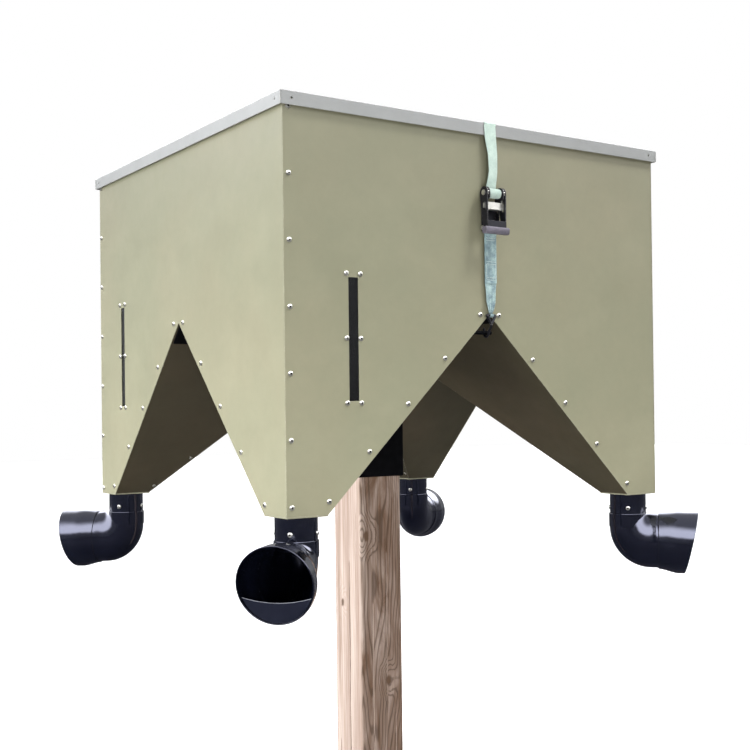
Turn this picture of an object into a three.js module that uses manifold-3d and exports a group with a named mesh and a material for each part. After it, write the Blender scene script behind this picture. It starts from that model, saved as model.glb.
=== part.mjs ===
import * as THREE from 'three';
import { mergeVertices } from 'three/addons/utils/BufferGeometryUtils.js';
import Module from 'manifold-3d';

const wasm = await Module();
wasm.setup();

// Gravity game feeder: a sheet-metal hopper on a timber post, with four legs that
// each end in a plastic feeding spout, and a lid held down by a ratchet strap.
// Millimetres. Ground level is z = 0 and the post stands on the z axis.
// The front wall faces -Y. The layout repeats four times round the post.

// Main sizes
const GROUND_TO_LEG = 1060;
const WALL_SPAN = 1220;
const LEG_WIDTH = 113;
const SHEET = 2;
const GAP = 0.3;
const HALF = WALL_SPAN / 2;
const APEX = HALF - LEG_WIDTH;
const WALL_TOP = 995.7;
const FLANGE = 31;
const TOP_FLANGE_HALF = 570;
const TOP_FLANGE_DEPTH = 25;

// Sight slot in each wall
const SLOT_WIDTH = 28;
const SLOT_BOTTOM = 271;
const SLOT_TOP = 571;
const SLOT_FROM_EDGE = 190;
const WINDOW_WIDTH = 60;
const WINDOW_MARGIN = 17;

// Hopper floor
const WALL_FLANGE_RISE = 49.5;
const SLEEVE_FLANGE_RISE = 30;
const CREASE_FLANGE = 18;
const CREASE_START = 110;

// Post and its sleeve
const POST = 150;
const POST_CHAMFER = 7;
const SLEEVE = 163;
const SLEEVE_WALL = 5;
const SLEEVE_BOTTOM = 50;
const SLEEVE_TOP = 530;
const SLEEVE_PLATE = 6;
const LAG_RISE = 170;
const LAG_RADIUS = 5;
const LAG_HEAD_RADIUS = 9.5;
const LAG_HEAD_HEIGHT = 8;
const LAG_TIP = 22;
const LAG_WASHER_RADIUS = 15;
const LAG_WASHER = 2;
const ARM_LEG = 74;
const ARM_SHORT_LEG = 26;
const ARM_THICKNESS = 5;
const ARM_END = 604;
const HOOK_BAR_RISE = 449;
const HOOK_BAR_REACH = 15;
const HOOK_BAR_RADIUS = 5;
const HOOK_BAR_SETBACK = 596;

// Spouts
const PLATE = 3;
const SPIGOT_OUTER = 48.5;
const SPIGOT_INNER = 46;
const PIPE_OUTER = 52;
const PIPE_INNER = 49;
const PIPE_BOTTOM = -84;
const COLLAR_OUTER = 54.8;
const COLLAR_TOP = -60;
const COLLAR_BOTTOM = -100;
const SOCKET_DEPTH = 25;
const ELBOW_HALF = 53;
const ELBOW_WALL = 3.2;
const HEEL_RADIUS = 119.5;
const BEND_HALF_WIDTH = 63;
const OUTLET_HALF_WIDTH = 70;
const OUTLET_RADIUS = 80.25;
const OUTLET_RISE = -139.75;
const OUTLET_END = 98;
const MOUTH_RADIUS = 92;
const MOUTH_RISE = -143.5;
const MOUTH_WALL = 3;
const MOUTH_START = 84;
const MOUTH_FLARE_END = 145;
const FLARE_HALF_WIDTH = 88.5;
const RIM_REACH = 180;
const RIM_LEAN = 21;
const DAM_THICKNESS = 3;
const DAM_SETBACK = 6;
const DAM_END_DROP = 29;
const DAM_MIDDLE_DROP = 41;
const DAM_SIDE_GAP = 2.2;

// Lid
const LID_HALF = 620;
const LID_SHEET = 2;
const LID_BOTTOM = 965;
const LID_EDGE = 998;
const LID_PEAK = 1008;
const LID_HOLE_RADIUS = 3;
const LID_HOLE_INSET = 30;

// Ratchet strap. Outlines of its pressed plates are in y and z.
const WEBBING = 38;
const WEBBING_THICKNESS = 2;
const STRAP_Y = -617;
const STRAP_LIFT = 0.4;
const SKIRT_OVERRUN = 3;
const SEWN_END = 578;
const SEWN_HALF = 2;
const LOOP_ENTRY = 20;
const LOOP_NECK = 5;
const SINGLE_TRIM = 3;
const BUNCH_TRIM = 8;
const BUNCH_HALF = 1.5;
const BUNCH_RISE = 31;
const EYE_LOOP_HALF = 6;
const EYE_TOP = 494;
const EYE_BOTTOM = 470;
const EYE_HALF = 15;
const HOOK_ROD = 3.5;
const HOOK_BEND = [
  [STRAP_Y, EYE_BOTTOM], [STRAP_Y + 1, 465], [-607, 452], [-602.5, 443],
  [-596, 438.8], [-589, 442], [-586.4, 449], [-586, 463],
];

const MANDREL_Y = -631;
const MANDREL_Z = 812;
const MANDREL_RADIUS = 7;
const MANDREL_HALF = 33;
const ROLL_RADIUS = 13.5;
const TOOTH_COUNT = 12;
const TOOTH_TIP = 15;
const TOOTH_ROOT = 11.5;
const TOOTH_PROFILE = [[0, TOOTH_ROOT], [0.62, TOOTH_TIP], [0.78, TOOTH_TIP], [0.84, TOOTH_ROOT]];
const WHEEL_INNER = 24.4;
const WHEEL_OUTER = 28.4;
const ARM_HEAD_RADIUS = 16;

const FRAME_INNER = 21.5;
const FRAME_THICKNESS = 2.5;
const FRAME_BACK = -HALF - 1;
const FRAME_OUTLINE = [
  [-647, 797], [-628, 790], [-627, 716], [-622, 711], [FRAME_BACK - 4, 711], [FRAME_BACK, 716],
  [FRAME_BACK, 800], [-616, 806],
];
const FRAME_WEB = [738, 788];
const BOLT_Y = -619;
const BOLT_Z = 722;
const BOLT_RADIUS = 4;
const BOLT_HALF = 28.3;
const BOLT_HEAD = 4;
const BOLT_HEAD_RADIUS = 6;

const HANDLE_INNER = 28.8;
const HANDLE_THICKNESS = 2.5;
const HANDLE_OUTLINE = [[-647, 800], [-646, 714], [-632, 714], [-624, 745], [-617, 790], [-615, 806]];
const HANDLE_WEB = { y: [-647, -645], z: [716, 738] };
const GRIP_HALF = 38.5;
const GRIP_OUTLINE = [
  [-651, 708], [-648, 704], [-636, 704], [-632, 708], [-632, 718], [-636, 722], [-648, 722], [-651, 718],
];

const PAWL_TIP_X = 26.4;
const PAWL_TIP_HALF = 1.9;
const DRIVE_PAWL = { y: [-635.5, -632.5], half: 28.3, z: [768, 788], tip: 796 };
const DRIVE_EAR = { half: 35, z: [771, 784] };
const DRIVE_PULL = { y: [-639, -635], half: 14, z: [768, 772] };
const DRIVE_SLOT = { y: [-637, -631], z: [765, 787] };
const BASE_PAWL = { y: [-622.2, -619.4], half: 28.2, z: [769, 789], tip: 798.6 };
const BASE_SLOT = { y: [-622.7, -618.8], z: [763, 792] };
const ACROSS_ALL = 60;

const ROUND = 26;

const PAINT = { color: 0x9a997c, roughness: 0.42, metalness: 0.1 };
const LID_PAINT = { color: 0x9c9ca1, roughness: 0.38, metalness: 0.1 };
const FLOOR_PAINT = { color: 0x77745a, roughness: 0.5, metalness: 0.1 };
const BLACK_STEEL = { color: 0x17181b, roughness: 0.5, metalness: 0.4 };
const BLACK_PLASTIC = { color: 0x14151a, roughness: 0.22, metalness: 0 };
const PINE = { color: 0xb9946c, roughness: 0.8, metalness: 0 };
const CLEAR_PLASTIC = { color: 0xc4c8d0, roughness: 0.12, metalness: 0, transparent: true, opacity: 0.35 };
const ZINC = { color: 0xc8c8c4, roughness: 0.3, metalness: 0.9 };
const MINT_WEBBING = { color: 0xc3dccc, roughness: 0.85, metalness: 0 };
const GRIP_METAL = { color: 0x232326, roughness: 0.4, metalness: 0.5 };

// ---------- helpers ----------

function solidOf(geometry) {
  const bare = geometry.clone();
  bare.deleteAttribute('normal');
  bare.deleteAttribute('uv');
  const merged = mergeVertices(bare, 1e-4);
  return new wasm.Manifold(new wasm.Mesh({
    numProp: 3,
    vertProperties: Float32Array.from(merged.attributes.position.array),
    triVerts: Uint32Array.from(merged.index.array),
  }));
}

function geometryOf(solid) {
  const mesh = solid.getMesh();
  const geometry = new THREE.BufferGeometry();
  geometry.setAttribute('position', new THREE.BufferAttribute(Float32Array.from(mesh.vertProperties), 3));
  geometry.setIndex(new THREE.BufferAttribute(Uint32Array.from(mesh.triVerts), 1));
  geometry.computeVertexNormals();
  return geometry;
}

function box(x0, x1, y0, y1, z0, z1) {
  const geometry = new THREE.BoxGeometry(x1 - x0, y1 - y0, z1 - z0);
  geometry.translate((x0 + x1) / 2, (y0 + y1) / 2, (z0 + z1) / 2);
  return solidOf(geometry);
}

function shapeOf(points) {
  return new THREE.Shape(points.map(([u, v]) => new THREE.Vector2(u, v)));
}

function extruded(shape, depth, curveSegments = 6) {
  return new THREE.ExtrudeGeometry(shape, { depth, bevelEnabled: false, curveSegments });
}

// Outline in x and z, filled from y0 to y1.
function prismAlongY(shape, y0, y1) {
  const geometry = extruded(shape, y1 - y0);
  geometry.rotateX(Math.PI / 2);
  geometry.translate(0, y1, 0);
  return solidOf(geometry);
}

// Outline in y and z, filled from x0 to x1.
function prismAlongX(shape, x0, x1) {
  const geometry = extruded(shape, x1 - x0);
  geometry.rotateY(Math.PI / 2);
  geometry.rotateX(Math.PI / 2);
  geometry.translate(x0, 0, 0);
  return solidOf(geometry);
}

// Outline in x and y, filled from z0 to z1.
function prismAlongZ(shape, z0, z1) {
  const geometry = extruded(shape, z1 - z0);
  geometry.translate(0, 0, z0);
  return solidOf(geometry);
}

function rodAlongX(radius, x0, x1, y, z, segments = 16) {
  const geometry = new THREE.CylinderGeometry(radius, radius, x1 - x0, segments);
  geometry.rotateZ(Math.PI / 2);
  geometry.translate((x0 + x1) / 2, y, z);
  return solidOf(geometry);
}

function rodAlongZ(radius, z0, z1, segments = ROUND) {
  const geometry = new THREE.CylinderGeometry(radius, radius, z1 - z0, segments);
  geometry.rotateX(Math.PI / 2);
  geometry.translate(0, 0, (z0 + z1) / 2);
  return solidOf(geometry);
}

// Round-ended rod from one point to another.
function rodBetween(start, end, radius) {
  const along = end.clone().sub(start);
  const geometry = new THREE.CapsuleGeometry(radius, along.length(), 3, 10);
  geometry.applyQuaternion(new THREE.Quaternion().setFromUnitVectors(
    new THREE.Vector3(0, 1, 0), along.clone().normalize(),
  ));
  const middle = start.clone().add(end).multiplyScalar(0.5);
  geometry.translate(middle.x, middle.y, middle.z);
  return solidOf(geometry);
}

function tubeAlongX(outer, inner, x0, x1, y, z, segments = 16) {
  const core = rodAlongX(inner, x0 - 1, x1 + 1, y, z, segments);
  return rodAlongX(outer, x0, x1, y, z, segments).subtract(core);
}

function union(...solids) {
  return solids.reduce((sum, next) => sum.add(next));
}

// Skin over a row of equal rings, either capped at both ends or joined end to start.
function skin(rings, joined) {
  const count = rings[0].length;
  const positions = rings.flat().flatMap((point) => [point.x, point.y, point.z]);
  const faces = [];
  const links = joined ? rings.length : rings.length - 1;
  for (let i = 0; i < links; i++) {
    const here = i * count;
    const next = ((i + 1) % rings.length) * count;
    for (let j = 0; j < count; j++) {
      const k = (j + 1) % count;
      faces.push(here + j, here + k, next + k);
      faces.push(here + j, next + k, next + j);
    }
  }
  if (!joined) {
    const last = (rings.length - 1) * count;
    for (let j = 1; j < count - 1; j++) {
      faces.push(0, j + 1, j);
      faces.push(last, last + j, last + j + 1);
    }
  }
  const geometry = new THREE.BufferGeometry();
  geometry.setAttribute('position', new THREE.Float32BufferAttribute(positions, 3));
  geometry.setIndex(faces);
  return facingOut(geometry);
}

function facingOut(geometry) {
  const at = geometry.attributes.position;
  const index = geometry.index.array;
  const corners = [new THREE.Vector3(), new THREE.Vector3(), new THREE.Vector3()];
  let volume = 0;
  for (let i = 0; i < index.length; i += 3) {
    corners.forEach((corner, n) => corner.fromBufferAttribute(at, index[i + n]));
    volume += corners[0].dot(corners[1].clone().cross(corners[2]));
  }
  if (volume < 0) {
    for (let i = 0; i < index.length; i += 3) {
      [index[i], index[i + 1]] = [index[i + 1], index[i]];
    }
  }
  geometry.computeVertexNormals();
  return geometry;
}

function piece(name, shape, look, parent) {
  const geometry = shape.isBufferGeometry ? shape : geometryOf(shape);
  const mesh = new THREE.Mesh(geometry, new THREE.MeshStandardMaterial(look));
  mesh.name = name;
  parent.add(mesh);
  return mesh;
}

function group(name, parent) {
  const result = new THREE.Group();
  result.name = name;
  if (parent) {
    parent.add(result);
  }
  return result;
}

// ---------- hopper ----------

// Outline that follows both sloping edges under a wall, as a band of the given height.
function gableBand(half, rise) {
  return shapeOf([
    [-half, APEX - half], [0, APEX], [half, APEX - half],
    [half, APEX - half + rise], [0, APEX + rise], [-half, APEX - half + rise],
  ]);
}

function gableBandToFloor(rise) {
  return shapeOf([
    [-APEX, 0], [0, APEX], [APEX, 0], [APEX + rise, 0], [0, APEX + rise], [-APEX - rise, 0],
  ]);
}

// Front wall: notched sheet, sight slot, a return flange on its right edge and one along its top.
function sidePanel() {
  const right = HALF - SHEET - GAP;
  const outline = shapeOf([
    [-HALF, 0], [-APEX, 0], [0, APEX], [APEX, 0],
    [right, 0], [right, WALL_TOP], [-HALF, WALL_TOP],
  ]);
  const slotCentre = -HALF + SLOT_FROM_EDGE;
  outline.holes.push(shapeOf([
    [slotCentre - SLOT_WIDTH / 2, SLOT_BOTTOM], [slotCentre - SLOT_WIDTH / 2, SLOT_TOP],
    [slotCentre + SLOT_WIDTH / 2, SLOT_TOP], [slotCentre + SLOT_WIDTH / 2, SLOT_BOTTOM],
  ]));
  const sheet = prismAlongY(outline, -HALF, -HALF + SHEET);
  const sideFlange = box(right - SHEET, right, -HALF + SHEET / 2, -HALF + FLANGE, 0, WALL_TOP);
  const topFlange = box(
    -TOP_FLANGE_HALF, TOP_FLANGE_HALF, -HALF + SHEET / 2, -HALF + TOP_FLANGE_DEPTH,
    WALL_TOP - SHEET, WALL_TOP,
  );
  return union(sheet, sideFlange, topFlange);
}

function sightWindow() {
  const centre = -HALF + SLOT_FROM_EDGE;
  const face = -HALF + SHEET + GAP;
  return box(
    centre - WINDOW_WIDTH / 2, centre + WINDOW_WIDTH / 2, face, face + SHEET,
    SLOT_BOTTOM - WINDOW_MARGIN, SLOT_TOP + WINDOW_MARGIN,
  );
}

// Front quarter of the floor: two wings folded down from a level ridge, with flanges
// up the wall, up the post sleeve, and over the next quarter along the left valley.
function floorTent() {
  const outer = -HALF + SHEET + GAP;
  const inner = -SLEEVE / 2 - GAP;
  const rise = SHEET * Math.SQRT2;
  const quarter = prismAlongZ(shapeOf([[-HALF, -HALF - GAP], [HALF, -HALF - GAP], [0, -GAP]]), -1, HALF);
  const wings = prismAlongY(gableBandToFloor(rise), outer, inner).intersect(quarter);
  const wallFlange = prismAlongY(gableBandToFloor(WALL_FLANGE_RISE), outer, outer + SHEET);
  const flangeHalf = SLEEVE / 2 - GAP;
  const sleeveFlange = prismAlongY(gableBand(flangeHalf, SLEEVE_FLANGE_RISE), inner - SHEET, inner);
  const low = rise + GAP * Math.SQRT2;
  const high = low + rise;
  const top = CREASE_START;
  const bottom = APEX + low;
  const band = prismAlongX(shapeOf([
    [-top, APEX - top + low], [-top, APEX - top + high],
    [-APEX - high, 0], [-bottom, 0],
  ]), -HALF, 0);
  const strip = prismAlongZ(shapeOf([
    [-top + SHEET + GAP * 2, -top], [-top - CREASE_FLANGE, -top],
    [-bottom - CREASE_FLANGE, -bottom - SHEET], [-bottom + SHEET, -bottom - SHEET],
  ]), -1, HALF);
  return union(wings, wallFlange, sleeveFlange, band.intersect(strip));
}

// Angle-iron arm under the front ridge, heel up.
function supportArm(hasHookBar) {
  const reach = ARM_LEG / Math.SQRT2;
  const shortReach = ARM_SHORT_LEG / Math.SQRT2;
  const wall = ARM_THICKNESS * Math.SQRT2;
  const heel = APEX - GAP * Math.SQRT2;
  const outline = shapeOf([
    [0, heel], [-reach, heel - reach], [-reach + wall / 2, heel - reach - wall / 2], [0, heel - wall],
    [shortReach - wall / 2, heel - shortReach - wall / 2], [shortReach, heel - shortReach],
  ]);
  const angle = prismAlongY(outline, -ARM_END, -SLEEVE / 2 - GAP);
  if (!hasHookBar) {
    return angle;
  }
  const barEnd = heel - HOOK_BAR_RISE - HOOK_BAR_RADIUS - GAP;
  return angle.add(
    rodAlongX(HOOK_BAR_RADIUS, -barEnd, HOOK_BAR_REACH, -HOOK_BAR_SETBACK, HOOK_BAR_RISE),
  );
}

// Square plate that closes the foot of a leg, with a round spigot for the pipe.
function legOutlet() {
  const half = LEG_WIDTH / 2 - GAP;
  const plate = box(-half, half, -half, half, -PLATE - GAP, -GAP);
  const spigot = rodAlongZ(SPIGOT_OUTER, COLLAR_TOP, -PLATE);
  return plate.add(spigot).subtract(rodAlongZ(SPIGOT_INNER, COLLAR_TOP - 1, 1));
}

// ---------- spouts: x points out of the mouth, z = 0 is the foot of the leg ----------

function spoutPipe() {
  const top = -PLATE - 2 * GAP;
  return rodAlongZ(PIPE_OUTER, PIPE_BOTTOM, top).subtract(rodAlongZ(PIPE_INNER, PIPE_BOTTOM - 1, 0));
}

// Oval ring across the line from the throat to the heel of the bend.
function bendRing(throat, heel, halfWidth, inset) {
  const along = heel.clone().sub(throat);
  const radius = along.length() / 2 - inset;
  const centre = throat.clone().add(heel).multiplyScalar(0.5);
  along.normalize();
  const ring = [];
  for (let j = 0; j < ROUND; j++) {
    const turn = (j / ROUND) * 2 * Math.PI;
    ring.push(new THREE.Vector3(
      centre.x + radius * Math.cos(turn) * along.x,
      (halfWidth - inset) * Math.sin(turn),
      centre.z + radius * Math.cos(turn) * along.z,
    ));
  }
  return ring;
}

function bendSolid(inset, startLift, endReach) {
  const heelCentre = HEEL_RADIUS - ELBOW_HALF;
  const throat = new THREE.Vector3(ELBOW_HALF, 0, COLLAR_TOP);
  const throatShift = new THREE.Vector3(
    heelCentre - ELBOW_HALF, 0, OUTLET_RISE + OUTLET_RADIUS - COLLAR_TOP,
  );
  const start = startLift + COLLAR_TOP;
  const rings = [
    bendRing(
      new THREE.Vector3(ELBOW_HALF, 0, start), new THREE.Vector3(-ELBOW_HALF, 0, start), ELBOW_HALF, inset,
    ),
    bendRing(
      throat, new THREE.Vector3(-ELBOW_HALF, 0, (COLLAR_TOP + COLLAR_BOTTOM) / 2), ELBOW_HALF, inset,
    ),
  ];
  const arcSteps = 9;
  for (let i = 0; i <= arcSteps; i++) {
    const share = i / arcSteps;
    const turn = share * Math.PI / 2;
    const heel = new THREE.Vector3(
      heelCentre - HEEL_RADIUS * Math.cos(turn), 0, COLLAR_BOTTOM - HEEL_RADIUS * Math.sin(turn),
    );
    rings.push(bendRing(
      throat.clone().addScaledVector(throatShift, share), heel,
      ELBOW_HALF + share * share * (BEND_HALF_WIDTH - ELBOW_HALF), inset,
    ));
  }
  [MOUTH_START - 2, endReach].forEach((reach) => rings.push(bendRing(
    new THREE.Vector3(reach, 0, OUTLET_RISE + OUTLET_RADIUS),
    new THREE.Vector3(reach, 0, COLLAR_BOTTOM - HEEL_RADIUS), OUTLET_HALF_WIDTH, inset,
  )));
  return solidOf(skin(rings, false));
}

// Moulded elbow: a round socket for the pipe that swells into a wider outlet.
function spoutElbow() {
  const body = bendSolid(0, 0, OUTLET_END);
  const passage = bendSolid(ELBOW_WALL, 1, OUTLET_END + 1);
  const socket = rodAlongZ(PIPE_OUTER + GAP, COLLAR_TOP - SOCKET_DEPTH, COLLAR_TOP + 1);
  const collar = rodAlongZ(COLLAR_OUTER, COLLAR_BOTTOM, COLLAR_TOP);
  const lining = rodAlongZ(ELBOW_HALF - ELBOW_WALL, COLLAR_BOTTOM - 1, COLLAR_TOP + 1);
  return body.add(collar).subtract(passage).subtract(lining).add(
    rodAlongZ(COLLAR_OUTER, COLLAR_TOP - SOCKET_DEPTH, COLLAR_TOP)
      .subtract(rodAlongZ(PIPE_OUTER, COLLAR_TOP - SOCKET_DEPTH - 1, COLLAR_TOP + 1)),
  ).subtract(socket);
}

function mouthRing(reach, centreZ, rise, halfWidth, lean) {
  const ring = [];
  for (let j = 0; j < ROUND; j++) {
    const turn = (j / ROUND) * 2 * Math.PI;
    ring.push(new THREE.Vector3(
      reach + lean * Math.cos(turn) * rise / MOUTH_RADIUS,
      halfWidth * Math.sin(turn),
      centreZ + rise * Math.cos(turn),
    ));
  }
  return ring;
}

// Flared mouth that fits over the elbow and ends in a rim that leans outward at the top.
function spoutMouth() {
  const socket = OUTLET_RADIUS + GAP;
  const bore = MOUTH_RADIUS - MOUTH_WALL;
  const stop = OUTLET_END + GAP;
  const socketHalf = OUTLET_HALF_WIDTH + GAP;
  return skin([
    mouthRing(MOUTH_START, OUTLET_RISE, socket + MOUTH_WALL, socketHalf + MOUTH_WALL, 0),
    mouthRing(MOUTH_FLARE_END, MOUTH_RISE, MOUTH_RADIUS, FLARE_HALF_WIDTH, 0),
    mouthRing(RIM_REACH, MOUTH_RISE, MOUTH_RADIUS, MOUTH_RADIUS, RIM_LEAN),
    mouthRing(RIM_REACH, MOUTH_RISE, bore, bore, RIM_LEAN),
    mouthRing(MOUTH_FLARE_END, MOUTH_RISE, bore, FLARE_HALF_WIDTH - MOUTH_WALL, 0),
    mouthRing(stop, OUTLET_RISE, OUTLET_RADIUS - MOUTH_WALL, OUTLET_HALF_WIDTH - MOUTH_WALL, 0),
    mouthRing(stop, OUTLET_RISE, socket, socketHalf, 0),
    mouthRing(MOUTH_START, OUTLET_RISE, socket, socketHalf, 0),
  ], true);
}

// Plate that closes the lower part of the mouth and keeps the feed in.
function feedDam() {
  const radius = MOUTH_RADIUS - MOUTH_WALL - 2 * GAP;
  const squeeze = (radius - DAM_SIDE_GAP) / radius;
  const endHalf = Math.sqrt(radius * radius - DAM_END_DROP * DAM_END_DROP);
  const startTurn = Math.atan2(-DAM_END_DROP, endHalf);
  const outline = [];
  const arcSteps = 16;
  for (let i = 0; i <= arcSteps; i++) {
    const turn = startTurn + (i / arcSteps) * (-Math.PI - 2 * startTurn);
    outline.push([squeeze * radius * Math.cos(turn), radius * Math.sin(turn)]);
  }
  const topSteps = 8;
  for (let i = 1; i < topSteps; i++) {
    const share = -1 + 2 * i / topSteps;
    outline.push([
      squeeze * share * endHalf, -DAM_MIDDLE_DROP + (DAM_MIDDLE_DROP - DAM_END_DROP) * share * share,
    ]);
  }
  const geometry = extruded(shapeOf(outline), DAM_THICKNESS);
  geometry.rotateY(Math.PI / 2);
  geometry.rotateX(Math.PI / 2);
  const at = geometry.attributes.position;
  for (let i = 0; i < at.count; i++) {
    const lean = RIM_LEAN * at.getZ(i) / MOUTH_RADIUS;
    at.setX(i, at.getX(i) + RIM_REACH - DAM_SETBACK - DAM_THICKNESS + lean);
    at.setZ(i, at.getZ(i) + MOUTH_RISE);
  }
  return solidOf(geometry);
}

// ---------- post ----------

function octagon(half, chamfer) {
  const flat = half - chamfer;
  return shapeOf([
    [-flat, -half], [flat, -half], [half, -flat], [half, flat],
    [flat, half], [-flat, half], [-half, flat], [-half, -flat],
  ]);
}

function lagHole(radius, reach) {
  const alongX = rodAlongX(radius, LAG_TIP - 2, reach, 0, LAG_RISE);
  const alongY = alongX.rotate([0, 0, 90]);
  return alongX.add(alongY);
}

function post() {
  const timber = prismAlongZ(octagon(POST / 2, POST_CHAMFER), -GROUND_TO_LEG, SLEEVE_TOP - SLEEVE_PLATE - 1);
  return timber.subtract(lagHole(LAG_RADIUS + GAP, POST));
}

function postSleeve() {
  const half = SLEEVE / 2;
  const hollow = half - SLEEVE_WALL;
  const shell = box(-half, half, -half, half, SLEEVE_BOTTOM, SLEEVE_TOP);
  const space = box(-hollow, hollow, -hollow, hollow, SLEEVE_BOTTOM - 1, SLEEVE_TOP - SLEEVE_PLATE);
  return shell.subtract(space).subtract(lagHole(LAG_RADIUS + GAP, SLEEVE));
}

function lagScrew() {
  const face = SLEEVE / 2 + GAP;
  const shank = rodAlongX(LAG_RADIUS, LAG_TIP, face + 1, 0, LAG_RISE);
  const washer = rodAlongX(LAG_WASHER_RADIUS, face, face + LAG_WASHER, 0, LAG_RISE);
  const head = rodAlongX(LAG_HEAD_RADIUS, face + 1, face + 1 + LAG_HEAD_HEIGHT, 0, LAG_RISE, 6);
  return union(shank, washer, head);
}

// ---------- lid ----------

// Square block whose top rises to a shallow point.
function pyramidBlock(half, bottom, edge, peak) {
  const corners = [[-half, -half], [half, -half], [half, half], [-half, half]];
  const positions = [];
  corners.forEach(([x, y]) => positions.push(x, y, bottom));
  corners.forEach(([x, y]) => positions.push(x, y, edge));
  positions.push(0, 0, peak);
  const faces = [0, 2, 1, 0, 3, 2];
  for (let i = 0; i < 4; i++) {
    const j = (i + 1) % 4;
    faces.push(i, j, j + 4, i, j + 4, i + 4, i + 4, j + 4, 8);
  }
  const geometry = new THREE.BufferGeometry();
  geometry.setAttribute('position', new THREE.Float32BufferAttribute(positions, 3));
  geometry.setIndex(faces);
  return solidOf(geometry);
}

function lid() {
  const inner = LID_HALF - LID_SHEET;
  let pan = pyramidBlock(LID_HALF, LID_BOTTOM, LID_EDGE, LID_PEAK)
    .subtract(pyramidBlock(inner, LID_BOTTOM - 1, LID_EDGE - LID_SHEET, LID_PEAK - LID_SHEET));
  const middle = (LID_BOTTOM + LID_EDGE) / 2;
  [-1, 1].forEach((side) => {
    const drill = rodAlongX(
      LID_HOLE_RADIUS, -LID_HALF - 1, LID_HALF + 1, side * (LID_HALF - LID_HOLE_INSET), middle, 10,
    );
    pan = pan.subtract(drill).subtract(drill.rotate([0, 0, 90]));
  });
  return pan;
}

// ---------- ratchet strap ----------

function strapOverLid() {
  const near = LID_HALF + GAP;
  const far = near + WEBBING_THICKNESS;
  const bottom = LID_BOTTOM - SKIRT_OVERRUN;
  const edge = LID_EDGE + STRAP_LIFT;
  const peak = LID_PEAK + STRAP_LIFT;
  const outline = shapeOf([
    [-near, bottom], [-near, edge], [0, peak], [near, edge], [near, bottom], [far, bottom],
    [far, edge + 1], [near - 1, edge + WEBBING_THICKNESS], [0, peak + WEBBING_THICKNESS],
    [-near + 1, edge + WEBBING_THICKNESS], [-far, edge + 1], [-far, bottom],
  ]);
  return prismAlongX(outline, -WEBBING / 2, WEBBING / 2);
}

// Straight run of webbing in the plane of the strap, from (y, z) up to the lid's skirt.
function runToLid(y, z) {
  const top = LID_BOTTOM - SKIRT_OVERRUN - GAP;
  const outside = -LID_HALF - GAP - WEBBING_THICKNESS;
  return prismAlongX(shapeOf([
    [y, z], [y + WEBBING_THICKNESS, z], [outside + WEBBING_THICKNESS, top], [outside, top],
  ]), -WEBBING / 2, WEBBING / 2);
}

function strapUpper() {
  return runToLid(MANDREL_Y + ROLL_RADIUS + GAP, MANDREL_Z - LOOP_NECK);
}

// Gathered webbing above a hook, with its narrow loop round the hook's eye.
function gatheredLoop() {
  const half = WEBBING / 2 - BUNCH_TRIM;
  const gathered = box(
    -half, half, STRAP_Y - BUNCH_HALF, STRAP_Y + BUNCH_HALF, EYE_TOP + LOOP_NECK, EYE_TOP + BUNCH_RISE,
  );
  const outer = HOOK_ROD + GAP + WEBBING_THICKNESS;
  return gathered.add(
    tubeAlongX(outer, HOOK_ROD + GAP, -EYE_LOOP_HALF, EYE_LOOP_HALF, STRAP_Y, EYE_TOP),
  );
}

// Doubled webbing below the ratchet: looped round its bolt, sewn, then single down to the hook.
function strapLower() {
  const half = WEBBING / 2;
  const loopInner = BOLT_RADIUS + GAP;
  const loop = tubeAlongX(loopInner + WEBBING_THICKNESS, loopInner, -half, half, BOLT_Y, BOLT_Z);
  const front = STRAP_Y - SEWN_HALF;
  const back = STRAP_Y + SEWN_HALF;
  const sewn = prismAlongX(shapeOf([
    [front, SEWN_END], [back, SEWN_END], [back, BOLT_Z - LOOP_ENTRY], [BOLT_Y + 3, BOLT_Z - LOOP_NECK],
    [BOLT_Y - 3, BOLT_Z - LOOP_NECK], [front, BOLT_Z - LOOP_ENTRY],
  ]), -half, half);
  const single = box(
    -half + SINGLE_TRIM, half - SINGLE_TRIM,
    STRAP_Y - WEBBING_THICKNESS / 2, STRAP_Y + WEBBING_THICKNESS / 2,
    EYE_TOP + BUNCH_RISE - 1, SEWN_END + 1,
  );
  return union(loop, sewn, single, gatheredLoop());
}

// Webbing down the back wall; drawn at the front and turned half round.
function strapBack() {
  return runToLid(STRAP_Y - WEBBING_THICKNESS / 2, EYE_TOP + BUNCH_RISE - 1).add(gatheredLoop());
}

// Coated steel hook: a three-cornered eye, a shank down the wall and a bend round the arm's bar.
function hook() {
  const path = new THREE.CatmullRomCurve3(
    HOOK_BEND.map(([y, z]) => new THREE.Vector3(0, y, z)), false, 'centripetal',
  );
  const circle = new THREE.Shape();
  circle.absarc(0, 0, HOOK_ROD, 0, 2 * Math.PI);
  const bend = new THREE.ExtrudeGeometry(circle, {
    steps: 26, bevelEnabled: false, extrudePath: path, curveSegments: 5,
  });
  const corners = [
    [-EYE_HALF, EYE_TOP], [EYE_HALF, EYE_TOP], [0, EYE_BOTTOM],
  ].map(([x, z]) => new THREE.Vector3(x, STRAP_Y, z));
  const eye = corners.map((corner, i) => rodBetween(corner, corners[(i + 1) % 3], HOOK_ROD));
  return union(solidOf(bend), ...eye);
}

// The same plate on both sides of the ratchet, drawn in y and z.
function sidePlates(shape, inner, thickness) {
  return prismAlongX(shape, inner, inner + thickness).add(prismAlongX(shape, -inner - thickness, -inner));
}

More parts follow.
